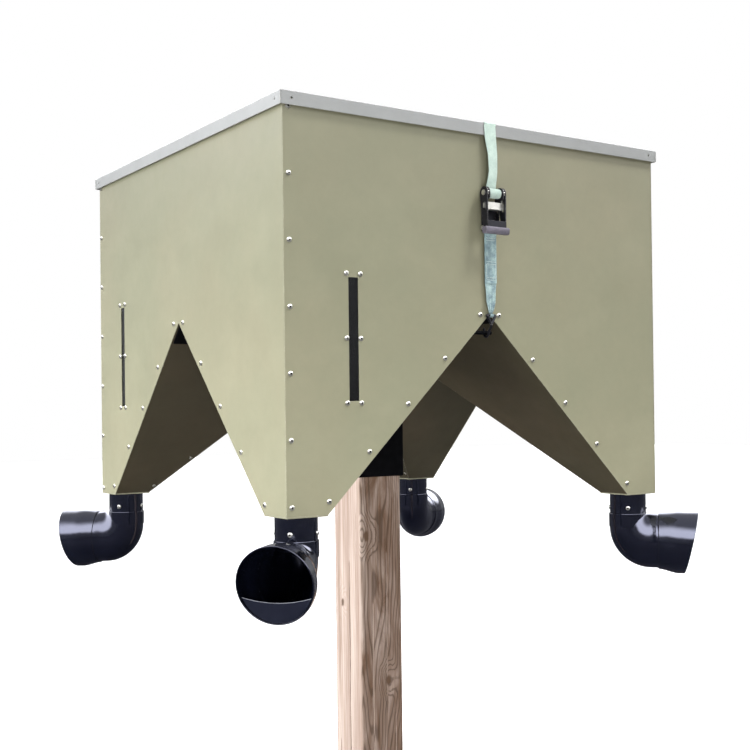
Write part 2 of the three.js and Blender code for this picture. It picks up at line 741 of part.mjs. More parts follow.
// Plate outline closed by a round head about the mandrel.
function withRoundHead(outline) {
  const steps = 8;
  const points = [...outline];
  for (let i = 0; i <= steps; i++) {
    const turn = (i / steps) * Math.PI;
    points.push([
      MANDREL_Y + ARM_HEAD_RADIUS * Math.cos(turn), MANDREL_Z + ARM_HEAD_RADIUS * Math.sin(turn),
    ]);
  }
  return shapeOf(points);
}

function mandrelHole() {
  return rodAlongX(MANDREL_RADIUS + GAP, -ACROSS_ALL, ACROSS_ALL, MANDREL_Y, MANDREL_Z);
}

function pawlSlot(slot) {
  return box(-ACROSS_ALL, ACROSS_ALL, ...slot.y, ...slot.z);
}

function ratchetFrame() {
  const half = FRAME_INNER + FRAME_THICKNESS;
  const web = box(-half, half, FRAME_BACK - 2, FRAME_BACK, ...FRAME_WEB);
  const boltHole = rodAlongX(BOLT_RADIUS + GAP, -ACROSS_ALL, ACROSS_ALL, BOLT_Y, BOLT_Z);
  return sidePlates(withRoundHead(FRAME_OUTLINE), FRAME_INNER, FRAME_THICKNESS)
    .add(web).subtract(mandrelHole()).subtract(boltHole).subtract(pawlSlot(BASE_SLOT));
}

function ratchetHandle() {
  const outside = HANDLE_INNER + HANDLE_THICKNESS;
  const web = box(-outside, outside, ...HANDLE_WEB.y, ...HANDLE_WEB.z);
  const grip = prismAlongX(shapeOf(GRIP_OUTLINE), -GRIP_HALF, GRIP_HALF);
  return sidePlates(withRoundHead(HANDLE_OUTLINE), HANDLE_INNER, HANDLE_THICKNESS)
    .add(web).add(grip).subtract(mandrelHole()).subtract(pawlSlot(DRIVE_SLOT));
}

function toothedWheels() {
  const outline = [];
  for (let i = 0; i < TOOTH_COUNT; i++) {
    TOOTH_PROFILE.forEach(([share, radius]) => {
      const turn = (i + share) * 2 * Math.PI / TOOTH_COUNT;
      outline.push([MANDREL_Y + radius * Math.cos(turn), MANDREL_Z + radius * Math.sin(turn)]);
    });
  }
  return sidePlates(shapeOf(outline), WHEEL_INNER, WHEEL_OUTER - WHEEL_INNER);
}

function mandrel() {
  return rodAlongX(MANDREL_RADIUS, -MANDREL_HALF, MANDREL_HALF, MANDREL_Y, MANDREL_Z).add(toothedWheels());
}

function webbingRoll() {
  return tubeAlongX(ROLL_RADIUS, MANDREL_RADIUS + GAP, -WEBBING / 2, WEBBING / 2, MANDREL_Y, MANDREL_Z, 24);
}

// Plate across the ratchet with a tip at each wheel.
function pawlPlate({ half, y, z, tip }) {
  const tips = [-PAWL_TIP_X, PAWL_TIP_X].map(
    (x) => box(x - PAWL_TIP_HALF, x + PAWL_TIP_HALF, ...y, z[1] - 1, tip),
  );
  return union(box(-half, half, ...y, ...z), ...tips);
}

// Sliding plate in the handle that drives the wheels.
function drivePawl() {
  const ears = box(-DRIVE_EAR.half, DRIVE_EAR.half, ...DRIVE_PAWL.y, ...DRIVE_EAR.z);
  const pull = box(-DRIVE_PULL.half, DRIVE_PULL.half, ...DRIVE_PULL.y, ...DRIVE_PULL.z);
  return pawlPlate(DRIVE_PAWL).add(ears).add(pull);
}

// Sliding plate in the frame that holds the wheels against the pull of the webbing.
function basePawl() {
  return pawlPlate(BASE_PAWL);
}

function anchorBolt() {
  const shank = rodAlongX(BOLT_RADIUS, -BOLT_HALF, BOLT_HALF, BOLT_Y, BOLT_Z);
  const head = rodAlongX(BOLT_HEAD_RADIUS, BOLT_HALF - BOLT_HEAD, BOLT_HALF, BOLT_Y, BOLT_Z, 6);
  const nut = rodAlongX(BOLT_HEAD_RADIUS, -BOLT_HALF, -BOLT_HALF + BOLT_HEAD, BOLT_Y, BOLT_Z, 6);
  return union(shank, head, nut);
}

// ---------- assembly ----------

const feeder = group('gravity_game_feeder');
const body = group('feeder_body', feeder);
body.position.z = GROUND_TO_LEG;

const panelShape = geometryOf(sidePanel());
const windowShape = geometryOf(sightWindow());
const tentShape = geometryOf(floorTent());
const plainArm = geometryOf(supportArm(false));
const hookArm = geometryOf(supportArm(true));
['front', 'right', 'back', 'left'].forEach((side, turn) => {
  const quarter = group(`hopper_${side}`, body);
  quarter.rotation.z = turn * Math.PI / 2;
  piece(`side_panel_${side}`, panelShape, PAINT, quarter);
  piece(`sight_window_${side}`, windowShape, CLEAR_PLASTIC, quarter);
  piece(`floor_tent_${side}`, tentShape, FLOOR_PAINT, quarter);
  piece(`support_arm_${side}`, turn % 2 === 0 ? hookArm : plainArm, BLACK_STEEL, quarter);
});

const outletShape = geometryOf(legOutlet());
const pipeShape = geometryOf(spoutPipe());
const elbowShape = geometryOf(spoutElbow());
const mouthShape = spoutMouth();
const damShape = geometryOf(feedDam());
['front_left', 'front_right', 'back_right', 'back_left'].forEach((corner, turn) => {
  const quarter = group(`leg_${corner}`, body);
  quarter.rotation.z = turn * Math.PI / 2;
  const leg = group(`leg_foot_${corner}`, quarter);
  leg.position.set(-HALF + LEG_WIDTH / 2, -HALF + LEG_WIDTH / 2, 0);
  piece(`leg_outlet_${corner}`, outletShape, PAINT, leg);
  const spout = group(`spout_${corner}`, leg);
  spout.rotation.z = -3 * Math.PI / 4;
  piece(`spout_pipe_${corner}`, pipeShape, BLACK_PLASTIC, spout);
  piece(`spout_elbow_${corner}`, elbowShape, BLACK_PLASTIC, spout);
  piece(`spout_mouth_${corner}`, mouthShape, BLACK_PLASTIC, spout);
  piece(`feed_dam_${corner}`, damShape, BLACK_PLASTIC, spout);
});

const mast = group('mast', body);
piece('post', post(), PINE, mast);
piece('post_sleeve', postSleeve(), BLACK_STEEL, mast);
const lagShape = geometryOf(lagScrew());
piece('lag_screw_right', lagShape, ZINC, mast);
piece('lag_screw_back', lagShape, ZINC, mast).rotation.z = Math.PI / 2;

const cover = group('cover', body);
piece('lid', lid(), LID_PAINT, cover);
piece('strap_over_lid', strapOverLid(), MINT_WEBBING, cover);

const tieDown = group('tie_down', body);
piece('strap_upper', strapUpper(), MINT_WEBBING, tieDown);
piece('strap_lower', strapLower(), MINT_WEBBING, tieDown);
piece('strap_back', strapBack(), MINT_WEBBING, tieDown).rotation.z = Math.PI;
const hookShape = geometryOf(hook());
piece('hook_front', hookShape, BLACK_STEEL, tieDown);
piece('hook_back', hookShape, BLACK_STEEL, tieDown).rotation.z = Math.PI;
piece('anchor_bolt', anchorBolt(), ZINC, tieDown);
piece('ratchet_frame', ratchetFrame(), GRIP_METAL, tieDown);
piece('ratchet_handle', ratchetHandle(), GRIP_METAL, tieDown);
piece('ratchet_mandrel', mandrel(), ZINC, tieDown);
piece('webbing_roll', webbingRoll(), MINT_WEBBING, tieDown);
piece('drive_pawl', drivePawl(), ZINC, tieDown);
piece('base_pawl', basePawl(), ZINC, tieDown);

export default feeder;
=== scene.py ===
import math
import random

import bmesh
import bpy
from mathutils import Matrix, Vector, noise


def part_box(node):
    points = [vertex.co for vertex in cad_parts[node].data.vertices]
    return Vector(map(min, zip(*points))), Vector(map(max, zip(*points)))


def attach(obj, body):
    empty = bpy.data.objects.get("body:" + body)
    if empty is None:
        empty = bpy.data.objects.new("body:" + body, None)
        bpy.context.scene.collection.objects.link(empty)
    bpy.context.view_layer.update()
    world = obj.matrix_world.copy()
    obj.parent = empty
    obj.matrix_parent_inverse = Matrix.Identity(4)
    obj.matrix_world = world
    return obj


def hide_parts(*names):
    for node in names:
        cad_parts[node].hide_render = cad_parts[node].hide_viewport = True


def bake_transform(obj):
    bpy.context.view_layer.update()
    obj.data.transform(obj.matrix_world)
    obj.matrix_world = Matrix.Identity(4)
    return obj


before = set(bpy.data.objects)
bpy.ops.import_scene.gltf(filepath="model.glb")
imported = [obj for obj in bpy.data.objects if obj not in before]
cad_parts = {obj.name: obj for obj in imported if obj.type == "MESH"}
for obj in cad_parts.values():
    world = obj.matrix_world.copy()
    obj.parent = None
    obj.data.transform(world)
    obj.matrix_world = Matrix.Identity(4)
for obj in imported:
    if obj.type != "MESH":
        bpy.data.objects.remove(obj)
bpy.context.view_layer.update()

# Sheet-metal gravity feeder on a timber post. Lengths below are millimetres and
# heights count from the feet of the four legs, unless a name says otherwise.
MM = 0.001
panel_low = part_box("side_panel_front")[0]
FOOT = panel_low.z / MM
HALF = -panel_low.y / MM
LEG_WIDTH = 113
APEX = HALF - LEG_WIDTH
LEG_CENTRE = HALF - LEG_WIDTH / 2
SIDES = ("front", "right", "back", "left")
CORNERS = ("front_left", "front_right", "back_right", "back_left")
QUARTER = math.pi / 2

random.seed(11)


def spot(x, y, z):
    return Vector((x, y, z + FOOT)) * MM


def turned(point, quarters):
    return Matrix.Rotation(quarters * QUARTER, 3, "Z") @ Vector(point)


# ---------------------------------------------------------------- nodes

def add(tree, kind, settings=None, **sockets):
    node = tree.nodes.new("ShaderNode" + kind)
    for key, value in (settings or {}).items():
        setattr(node, key, value)
    for key, value in sockets.items():
        feed(tree, node.inputs[int(key[1:]) if key[0] == "i" and key[1:].isdigit() else key], value)
    return node


def feed(tree, socket, value):
    if isinstance(value, bpy.types.NodeSocket):
        tree.links.new(value, socket)
    elif hasattr(value, "__len__") and len(value) == 3 and socket.type == "RGBA":
        socket.default_value = (*value, 1)
    else:
        socket.default_value = value


def maths(tree, operation, first, second=0.5, clamp=False):
    node = add(tree, "Math", {"operation": operation, "use_clamp": clamp}, i0=first, i1=second)
    return node.outputs[0]


def times(tree, first, second, clamp=False):
    return maths(tree, "MULTIPLY", first, second, clamp)


def blended(tree, factor, first, second):
    return add(tree, "Mix", {"data_type": "RGBA"}, i0=factor, i6=first, i7=second).outputs[2]


def tinted(tree, tone, colour, mask, share):
    """Mixes a share of a colour into a tone where the mask is 1."""
    return blended(tree, times(tree, mask, share), tone, colour)


def wired(tree, shader, **values):
    """Feeds a shader's sockets. An underscore stands for a space."""
    for key, value in values.items():
        feed(tree, shader.inputs[key.replace("_", " ")], value)


def ranged(tree, value, low, high, to_low=0.0, to_high=1.0, smooth=False):
    node = add(tree, "MapRange", {"interpolation_type": "SMOOTHSTEP" if smooth else "LINEAR"}, i0=value,
               i1=low, i2=high, i3=to_low, i4=to_high)
    return node.outputs[0]


def places(tree, scale=(1, 1, 1)):
    coordinates = add(tree, "TexCoord").outputs["Object"]
    return add(tree, "Mapping", i0=coordinates, i3=scale).outputs[0]


def cloud(tree, vector, scale, detail=4, roughness=0.55, distortion=0.0):
    node = add(tree, "TexNoise", Vector=vector, Scale=scale, Detail=detail, Roughness=roughness,
               Distortion=distortion)
    return node.outputs["Fac"]


def bumped(tree, height, distance, strength=1.0, below=None):
    node = add(tree, "Bump", Height=height, Distance=distance, Strength=strength)
    if below is not None:
        feed(tree, node.inputs["Normal"], below)
    return node.outputs[0]


def near_edges(tree, radius):
    """1 close to a sharp edge, 0 elsewhere."""
    rounded = add(tree, "Bevel", {"samples": 4}, Radius=radius).outputs[0]
    plain = add(tree, "NewGeometry").outputs["Normal"]
    alike = add(tree, "VectorMath", {"operation": "DOT_PRODUCT"}, i0=rounded, i1=plain).outputs["Value"]
    return ranged(tree, alike, 0.99, 0.86)


def new_material(name):
    material = bpy.data.materials.new(name)
    material.use_nodes = True
    tree = material.node_tree
    return material, tree, tree.nodes["Principled BSDF"]


def painted(name, colour, warm, rough, wear, dust, wave=0.0006, coat=0.08, metallic=0.08, painted_shade_slope=0.0):
    """Satin paint over steel: orange peel, faint waviness, blotches, paler worn edges.

    The last argument sets how much paler the paint is at the legs than at the rim: painted light low down
    and painted shade up at the rim, set by height alone."""
    material, tree, shader = new_material(name)
    at = places(tree)
    patches = ranged(tree, cloud(tree, at, 2.6, 5), 0.35, 0.68)
    mottle = ranged(tree, cloud(tree, at, 38, 6, 0.7), 0.3, 0.75)
    tone = blended(tree, patches, colour, warm)
    tone = tinted(tree, tone, [c * 0.72 for c in colour], mottle, 0.16)
    blotches = cloud(tree, at, 7.5, 6, 0.6)
    film = times(tree, ranged(tree, blotches, 0.48, 0.75), dust)
    tone = blended(tree, film, tone, [min(1, c * 1.35 + 0.02) for c in warm])
    grit = ranged(tree, cloud(tree, at, 260, 3, 0.7), 0.66, 0.8)
    tone = tinted(tree, tone, (0.09, 0.085, 0.06), grit, 0.18)
    chips = ranged(tree, cloud(tree, at, 55, 6, 0.75), 0.40, 0.62)
    worn = times(tree, near_edges(tree, 0.0016), chips, clamp=True)
    tone = tinted(tree, tone, (0.60, 0.59, 0.52), worn, wear)
    # Painted light and shade: the paint is made paler low down and darker up at the rim, by height alone.
    rise = add(tree, "SeparateXYZ", Vector=add(tree, "TexCoord").outputs["Object"]).outputs[2]
    painted_shade_by_height = ranged(tree, rise, (FOOT + 60) * MM, (FOOT + 940) * MM, 1.0 + painted_shade_slope, 1.0 - painted_shade_slope)
    painted_shade_tone = add(tree, "VectorMath", {"operation": "SCALE"}, i0=tone, Scale=painted_shade_by_height).outputs[0]
    wired(tree, shader, Base_Color=painted_shade_tone)
    patchy = ranged(tree, cloud(tree, at, 9, 5, 0.6), 0.3, 0.7, rough - 0.06, rough + 0.09)
    wired(tree, shader, Roughness=maths(tree, "ADD", patchy, times(tree, film, 0.2)))
    wired(tree, shader, Metallic=metallic, Coat_Weight=coat, Coat_Roughness=0.22, Specular_IOR_Level=0.22)
    dents = bumped(tree, cloud(tree, at, 3.1, 2, 0.4), wave * 14, 0.5)
    peel = bumped(tree, cloud(tree, at, 640, 2, 0.5), 0.00016, 0.35, dents)
    wired(tree, shader, Normal=peel)
    return material


def black_metal(name, colour, rough, metallic, wear, shine=0.2):
    """Black finish on steel, rubbed to bare metal along its edges, with dust and fine scratches."""
    material, tree, shader = new_material(name)
    at = places(tree)
    mottle = ranged(tree, cloud(tree, at, 46, 6, 0.7), 0.35, 0.7)
    tone = blended(tree, mottle, colour, [c * 1.7 + 0.001 for c in colour])
    dusty = ranged(tree, cloud(tree, at, 7, 6, 0.65), 0.55, 0.8)
    tone = tinted(tree, tone, (0.16, 0.14, 0.11), dusty, 0.07)
    chips = ranged(tree, cloud(tree, at, 240, 5, 0.7), 0.42, 0.6)
    worn = times(tree, near_edges(tree, 0.0011), chips, clamp=True)
    worn = times(tree, worn, wear)
    tone = blended(tree, worn, tone, (0.42, 0.41, 0.39))
    wired(tree, shader, Base_Color=tone)
    scratches = cloud(tree, places(tree, (30, 30, 900)), 1.0, 4, 0.6)
    wired(tree, shader, Roughness=ranged(tree, scratches, 0.3, 0.7, rough - 0.08, rough + 0.12))
    wired(tree, shader, Metallic=metallic, Specular_IOR_Level=shine)
    grain = bumped(tree, cloud(tree, at, 900, 3, 0.6), 0.0001, 0.4)
    wired(tree, shader, Normal=bumped(tree, cloud(tree, at, 60, 4, 0.6), 0.0002, 0.35, grain))
    return material


def glossy_plastic(name, colour, rough, shine):
    """Moulded black plastic: faint flow marks, handling scuffs, dust that settles in patches."""
    material, tree, shader = new_material(name)
    at = places(tree)
    flow = ranged(tree, cloud(tree, at, 14, 5, 0.55, 1.2), 0.3, 0.72)
    tone = blended(tree, flow, colour, [c * 1.4 + 0.001 for c in colour])
    film = ranged(tree, cloud(tree, at, 24, 7, 0.72), 0.58, 0.85)
    tone = tinted(tree, tone, (0.22, 0.21, 0.24), film, 0.05)
    scuffs = ranged(tree, cloud(tree, at, 160, 4, 0.7), 0.5, 0.7)
    worn = times(tree, near_edges(tree, 0.0014), scuffs, clamp=True)
    tone = tinted(tree, tone, (0.20, 0.20, 0.22), worn, 0.35)
    wired(tree, shader, Base_Color=tone)
    hazy = maths(tree, "ADD", ranged(tree, cloud(tree, at, 11, 4), 0.3, 0.7, rough - 0.04, rough + 0.07),
                 times(tree, film, 0.16))
    wired(tree, shader, Roughness=hazy, Specular_IOR_Level=shine, Specular_Tint=(0.78, 0.80, 1.0, 1))
    ripple = bumped(tree, cloud(tree, at, 17, 2, 0.4), 0.0030, 0.5)
    wired(tree, shader, Normal=bumped(tree, cloud(tree, at, 700, 3, 0.6), 0.00008, 0.35, ripple))
    return material


def bright_zinc(name, colour, rough):
    """Zinc plating: crystalline mottling, dull patches, fine scratches."""
    material, tree, shader = new_material(name)
    at = places(tree)
    cells = add(tree, "TexVoronoi", Vector=at, Scale=420.0).outputs["Color"]
    crystal = add(tree, "SeparateColor", Color=cells).outputs[0]
    tone = blended(tree, times(tree, crystal, 0.5), colour, [c * 0.74 for c in colour])
    dull = ranged(tree, cloud(tree, at, 90, 6, 0.7), 0.5, 0.75)
    tone = tinted(tree, tone, (0.34, 0.33, 0.29), dull, 0.35)
    wired(tree, shader, Base_Color=tone, Roughness=ranged(tree, dull, 0, 1, rough, rough + 0.25))
    wired(tree, shader, Metallic=0.85, Normal=bumped(tree, cloud(tree, at, 1100, 3, 0.6), 0.00006, 0.4))
    return material


def clear_plastic(name):
    """Clear window strip, hazed and lightly scratched."""
    material, tree, shader = new_material(name)
    at = places(tree)
    haze = ranged(tree, cloud(tree, at, 30, 6, 0.65), 0.4, 0.75)
    tone = blended(tree, haze, (0.14, 0.15, 0.16), (0.10, 0.105, 0.115))
    wired(tree, shader, Base_Color=tone, Roughness=ranged(tree, haze, 0, 1, 0.06, 0.22))
    wired(tree, shader, Transmission_Weight=0.98, IOR=1.49)
    scratches = cloud(tree, places(tree, (700, 700, 40)), 1.0, 3, 0.6)
    wired(tree, shader, Normal=bumped(tree, scratches, 0.00005, 0.3))
    return material


def sawn_pine(name):
    """Weathered softwood: long grain, rings on the ends, knots, drying checks and grey streaks."""
    material, tree, shader = new_material(name)
    coordinates = add(tree, "TexCoord").outputs["Object"]
    axis = add(tree, "SeparateXYZ", Vector=coordinates)
    knots = None
    bend = None
    for x, y, z, size in POST_KNOTS:
        offset = add(tree, "VectorMath", {"operation": "SUBTRACT"}, i0=coordinates, i1=spot(x, y, z))
        squeezed = add(tree, "VectorMath", {"operation": "MULTIPLY"}, i0=offset.outputs[0], i1=(1, 1, 0.62))
        away = add(tree, "VectorMath", {"operation": "LENGTH"}, i0=squeezed.outputs[0]).outputs["Value"]
        away = maths(tree, "ADD", away, times(tree, cloud(tree, places(tree), 46, 3), 0.012))
        core = ranged(tree, away, (size + 5) * MM, (size * 0.5 + 5) * MM, smooth=True)
        swirl = ranged(tree, away, (size * 3.4 + 6) * MM, (size * 0.6 + 6) * MM, smooth=True)
        knots = core if knots is None else maths(tree, "MAXIMUM", knots, core)
        bend = swirl if bend is None else maths(tree, "MAXIMUM", bend, swirl)
    drift = cloud(tree, places(tree, (5, 5, 0.9)), 1.0, 3, 0.5)
    pith = add(tree, "CombineXYZ", i0=maths(tree, "ADD", axis.outputs[0], 0.021),
               i1=maths(tree, "ADD", axis.outputs[1], -0.034), i2=0.0).outputs[0]
    radius = add(tree, "VectorMath", {"operation": "LENGTH"}, i0=pith).outputs["Value"]
    rings = maths(tree, "ADD", times(tree, radius, 150.0), times(tree, drift, 22.0))
    rings = maths(tree, "ADD", rings, times(tree, bend, 3.0))
    band = ranged(tree, maths(tree, "SINE", times(tree, rings, 6.283)), -0.6, 1.0)
    fibres = cloud(tree, places(tree, (420, 420, 7)), 1.0, 5, 0.7)
    streaks = cloud(tree, places(tree, (60, 60, 1.1)), 1.0, 5, 0.66)
    tone = blended(tree, ranged(tree, streaks, 0.36, 0.64), (0.31, 0.225, 0.185), (0.57, 0.475, 0.415))
    tone = tinted(tree, tone, (0.29, 0.175, 0.105), band, 0.20)
    tone = tinted(tree, tone, (0.22, 0.14, 0.09), ranged(tree, fibres, 0.5, 0.78), 0.45)
    grey = ranged(tree, cloud(tree, places(tree, (16, 16, 1.6)), 1.0, 6, 0.7), 0.52, 0.78)
    tone = tinted(tree, tone, (0.36, 0.30, 0.25), grey, 0.35)
    # Painted shade: the face toward -y turns darker brown, with dark grain veins, chosen by the way it
    # faces.
    facing = add(tree, "SeparateXYZ", Vector=add(tree, "NewGeometry").outputs["Normal"]).outputs[1]
    painted_shade_face = ranged(tree, facing, -0.45, -0.9)
    swirls = cloud(tree, places(tree, (13, 13, 2.3)), 1.0, 5, 0.6, 2.2)
    painted_shade_share = ranged(tree, swirls, 0.36, 0.62, 0.95, 0.35)
    tone = tinted(tree, tone, (0.115, 0.062, 0.034), painted_shade_face, painted_shade_share)
    veins = times(tree, ranged(tree, band, 0.55, 0.95), times(tree, painted_shade_face, 0.55))
    tone = blended(tree, veins, tone, (0.035, 0.020, 0.012))
    tone = tinted(tree, tone, (0.085, 0.045, 0.024), knots, 0.88)
    wired(tree, shader, Base_Color=tone, Roughness=ranged(tree, fibres, 0.3, 0.7, 0.62, 0.86))
    wired(tree, shader, Specular_IOR_Level=0.3)
    relief = maths(tree, "ADD", times(tree, fibres, 0.7), times(tree, band, 0.3))
    wired(tree, shader, Normal=bumped(tree, relief, 0.0011, 0.55))
    return material


def woven(name, light, dark, damp):
    """Flat webbing: chevron ribs across its width, weft ridges along it, soiled in patches."""
    material, tree, shader = new_material(name)
    grid = add(tree, "UVMap", {"uv_map": "webbing"}).outputs[0]
    split = add(tree, "SeparateXYZ", Vector=grid)
    across, along = split.outputs[0], split.outputs[1]
    chevron = maths(tree, "PINGPONG", across, 0.0048)
    slant = maths(tree, "ADD", along, times(tree, chevron, 0.9))
    ribs = maths(tree, "SINE", times(tree, slant, 2 * math.pi / 0.0023))
    warp = maths(tree, "SINE", times(tree, across, 2 * math.pi / 0.0012))
    weave = ranged(tree, maths(tree, "ADD", ribs, times(tree, warp, 0.6)), -1.4, 1.4)
    soil = ranged(tree, cloud(tree, places(tree), 58, 6, 0.7), 0.38, 0.66)
    patches = ranged(tree, cloud(tree, places(tree), 17, 4, 0.6), 0.4, 0.62)
    tone = blended(tree, times(tree, soil, damp), light, dark)
    tone = tinted(tree, tone, [c * 0.8 for c in dark], patches, damp * 0.7)
    # Painted shade: the colour turns darker in the weave's hollows.
    tone = blended(tree, ranged(tree, weave, 0.5, 0.0, 0.0, 0.42), tone, [c * 0.42 for c in dark])
    selvedge = ranged(tree, maths(tree, "ABSOLUTE", across), 0.0172, 0.0184)
    tone = tinted(tree, tone, [c * 0.66 for c in light], selvedge, 0.35)
    wired(tree, shader, Base_Color=tone, Roughness=0.72, Sheen_Weight=0.25, Sheen_Roughness=0.5)
    wired(tree, shader, Normal=bumped(tree, weave, 0.0004, 0.8))
    return material


def pale_floor(name):
    """White studio floor; it doesn't show in glossy reflections."""
    material, tree, shader = new_material(name)
    rays = add(tree, "LightPath").outputs
    patches = ranged(tree, cloud(tree, places(tree), 1.3, 4), 0.3, 0.7)
    tone = blended(tree, patches, (0.86, 0.86, 0.86), (0.90, 0.90, 0.90))
    wired(tree, shader, Base_Color=blended(tree, rays["Is Glossy Ray"], tone, (0.06, 0.06, 0.07)))
    wired(tree, shader, Roughness=0.85, Specular_IOR_Level=0.1, Emission_Color=(1, 1, 1, 1))
    wired(tree, shader, Emission_Strength=rays["Is Camera Ray"])
    return material


POST_KNOTS = (
    (-52, -75, -125, 15), (-75, 28, -330, 11), (22, -75, -560, 13), (75, -18, -240, 12), (75, 34, -700, 14),
    (-10, 75, -180, 13), (-75, -30, -800, 12),
)

OLIVE = painted("olive_paint", (0.215, 0.213, 0.143), (0.232, 0.220, 0.148), 0.42, 0.55, 0.14, painted_shade_slope=0.21)
GREY_LID = painted("grey_lid", (0.225, 0.23, 0.225), (0.21, 0.215, 0.21), 0.4, 0.8, 0.2, 0.0007, 0.15, 0.1)
# Painted shade: the underside paint is made far darker than the wall paint, for the shade under the hopper.
OLIVE_PAINTED_SHADE_UNDERSIDE = painted("olive_paint_underside", (0.044, 0.038, 0.022), (0.056, 0.044, 0.026), 0.55, 0.35,
                      0.12, 0.0005, 0.0)
BLACK_STEEL = black_metal("black_steel", (0.0015, 0.0015, 0.002), 0.55, 0.0, 0.2, 0.04)
BLACK_RATCHET = black_metal("black_ratchet", (0.008, 0.008, 0.010), 0.38, 0.2, 0.7)
GRIP = black_metal("grip_coating", (0.082, 0.075, 0.092), 0.42, 0.0, 0.25)
BLACK_PIPE = glossy_plastic("black_pipe", (0.0015, 0.002, 0.005), 0.11, 0.8)
BLACK_SHEET = glossy_plastic("black_sheet", (0.006, 0.007, 0.013), 0.34, 0.3)
# Painted highlight: paler plastic for the feed dam's upward-facing edge faces.
DAM_PAINTED_HIGHLIGHT = glossy_plastic("sheet_edge_painted_highlight", (0.33, 0.34, 0.38), 0.4, 0.4)
ZINC = bright_zinc("zinc", (0.56, 0.55, 0.50), 0.28)
# Painted shade: near-black metal for the inside of the screw sockets.
SOCKET_PAINTED_SHADE = black_metal("screw_socket_painted_shade", (0.018, 0.016, 0.013), 0.6, 0.3, 0.0)
CLEAR = clear_plastic("clear_sheet")
PINE = sawn_pine("pine")
WEBBING = woven("webbing", (0.50, 0.62, 0.545), (0.27, 0.37, 0.34), 0.45)
WEBBING_SEWN = woven("webbing_sewn", (0.37, 0.50, 0.49), (0.11, 0.18, 0.21), 1.0)
THREAD = black_metal("sewing_thread", (0.45, 0.50, 0.48), 0.7, 0.0, 0.0)


# ---------------------------------------------------------------- meshes

def placed(name, data):
    piece = bpy.data.objects.new(name, data)
    bpy.context.scene.collection.objects.link(piece)
    return piece


def finished(name, mesh, body, slot, materials, replaces=(), sharp=38, weighted=True):
    """Links a mesh as a shaded piece that rides on a body."""
    mesh.shade_smooth()
    mesh.set_sharp_from_angle(angle=math.radians(sharp))
    piece = placed(name, mesh)
    choices = [face.material_index for face in mesh.polygons]
    mesh.materials.clear()
    for material in materials:
        mesh.materials.append(material)
    mesh.polygons.foreach_set("material_index", choices)
    if weighted:
        piece.modifiers.new("even_normals", "WEIGHTED_NORMAL").keep_sharp = True
    if body:
        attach(piece, body)
    if replaces:
        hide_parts(*replaces)
    return piece


def raised(points, quarters=0):
    """Turns points about z and lifts them from the feet of the legs to their height above ground."""
    return [turned(p, quarters) + Vector((0, 0, FOOT)) for p in points]


def mesh_from(name, points, faces):
    mesh = bpy.data.meshes.new(name)
    mesh.from_pydata([Vector(p) * MM for p in points], [], faces)
    facing_out(mesh)
    return mesh


def facing_out(mesh):
    bm = bmesh.new()
    bm.from_mesh(mesh)
    bmesh.ops.recalc_face_normals(bm, faces=bm.faces)
    bm.to_mesh(mesh)
    bm.free()


def bevelled(bm, edges, width, segments):
    if edges:
        bmesh.ops.bevel(bm, geom=edges, offset=width * MM, offset_type="OFFSET", segments=segments,
                        profile=0.5, affect="EDGES", clamp_overlap=True)


def sharp_edges(bm, least=30):
    limit = math.radians(least)
    return [e for e in bm.edges if len(e.link_faces) == 2 and e.calc_face_angle(0) > limit]


def refined(node, materials, slot, body, width=0.4, segments=2, bends=None, sharp=38, paint=None):
    """Copy of a CAD node with softened edges. bends picks edges that get a wider bend: (test, width)."""
    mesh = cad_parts[node].data.copy()
    bm = bmesh.new()
    bm.from_mesh(mesh)
    bmesh.ops.remove_doubles(bm, verts=bm.verts, dist=1e-6)
    bmesh.ops.dissolve_limit(bm, angle_limit=math.radians(0.3), verts=bm.verts, edges=bm.edges)
    for test, bend in bends or ():
        chosen = [e for e in sharp_edges(bm) if test(*(v.co / MM for v in e.verts))]
        bevelled(bm, chosen, bend, 5)
    bevelled(bm, sharp_edges(bm, 40), width, segments)
    for face in bm.faces:
        face.material_index = paint(face.calc_center_median() / MM) if paint else 0
    bm.to_mesh(mesh)
    bm.free()
    for layer in list(mesh.uv_layers):
        mesh.uv_layers.remove(layer)
    mesh.name = node + "_look"
    return finished(node + "_look", mesh, body, slot, materials, [node], sharp)


def skin(rings, joined=False):
    """Faces over a row of equal rings, capped at both ends or joined end to start."""
    count = len(rings[0])
    points = [p for ring in rings for p in ring]
    faces = []
    for i in range(len(rings) if joined else len(rings) - 1):
        here, there = i * count, (i + 1) % len(rings) * count
        for j in range(count):
            k = (j + 1) % count
            faces.append((here + j, here + k, there + k, there + j))
    if not joined:
        faces.append(tuple(range(count))[::-1])
        faces.append(tuple(range(len(points) - count, len(points))))
    return points, faces


def circle(count):
    return [(math.cos(2 * math.pi * j / count), math.sin(2 * math.pi * j / count)) for j in range(count)]


def turned_shape(profile, joined=True):
    """Revolves (radius, height) pairs round z."""
    return skin([[(r * c, r * s, z) for c, s in circle(SIDES_ROUND)] for r, z in profile], joined)


def smooth_path(points, per_span):
    """Catmull-Rom curve through 3-D points."""
    points = [Vector(p) for p in points]
    result = []
    for i in range(len(points) - 1):
        p = [points[min(max(i + k, 0), len(points) - 1)] for k in (-1, 0, 1, 2)]
        for s in range(per_span):
            t = s / per_span
            result.append(0.5 * (2 * p[1] + (p[2] - p[0]) * t
                                 + (2 * p[0] - 5 * p[1] + 4 * p[2] - p[3]) * t ** 2
                                 + (3 * p[1] - p[0] - 3 * p[2] + p[3]) * t ** 3))
    result.append(points[-1])
    return result


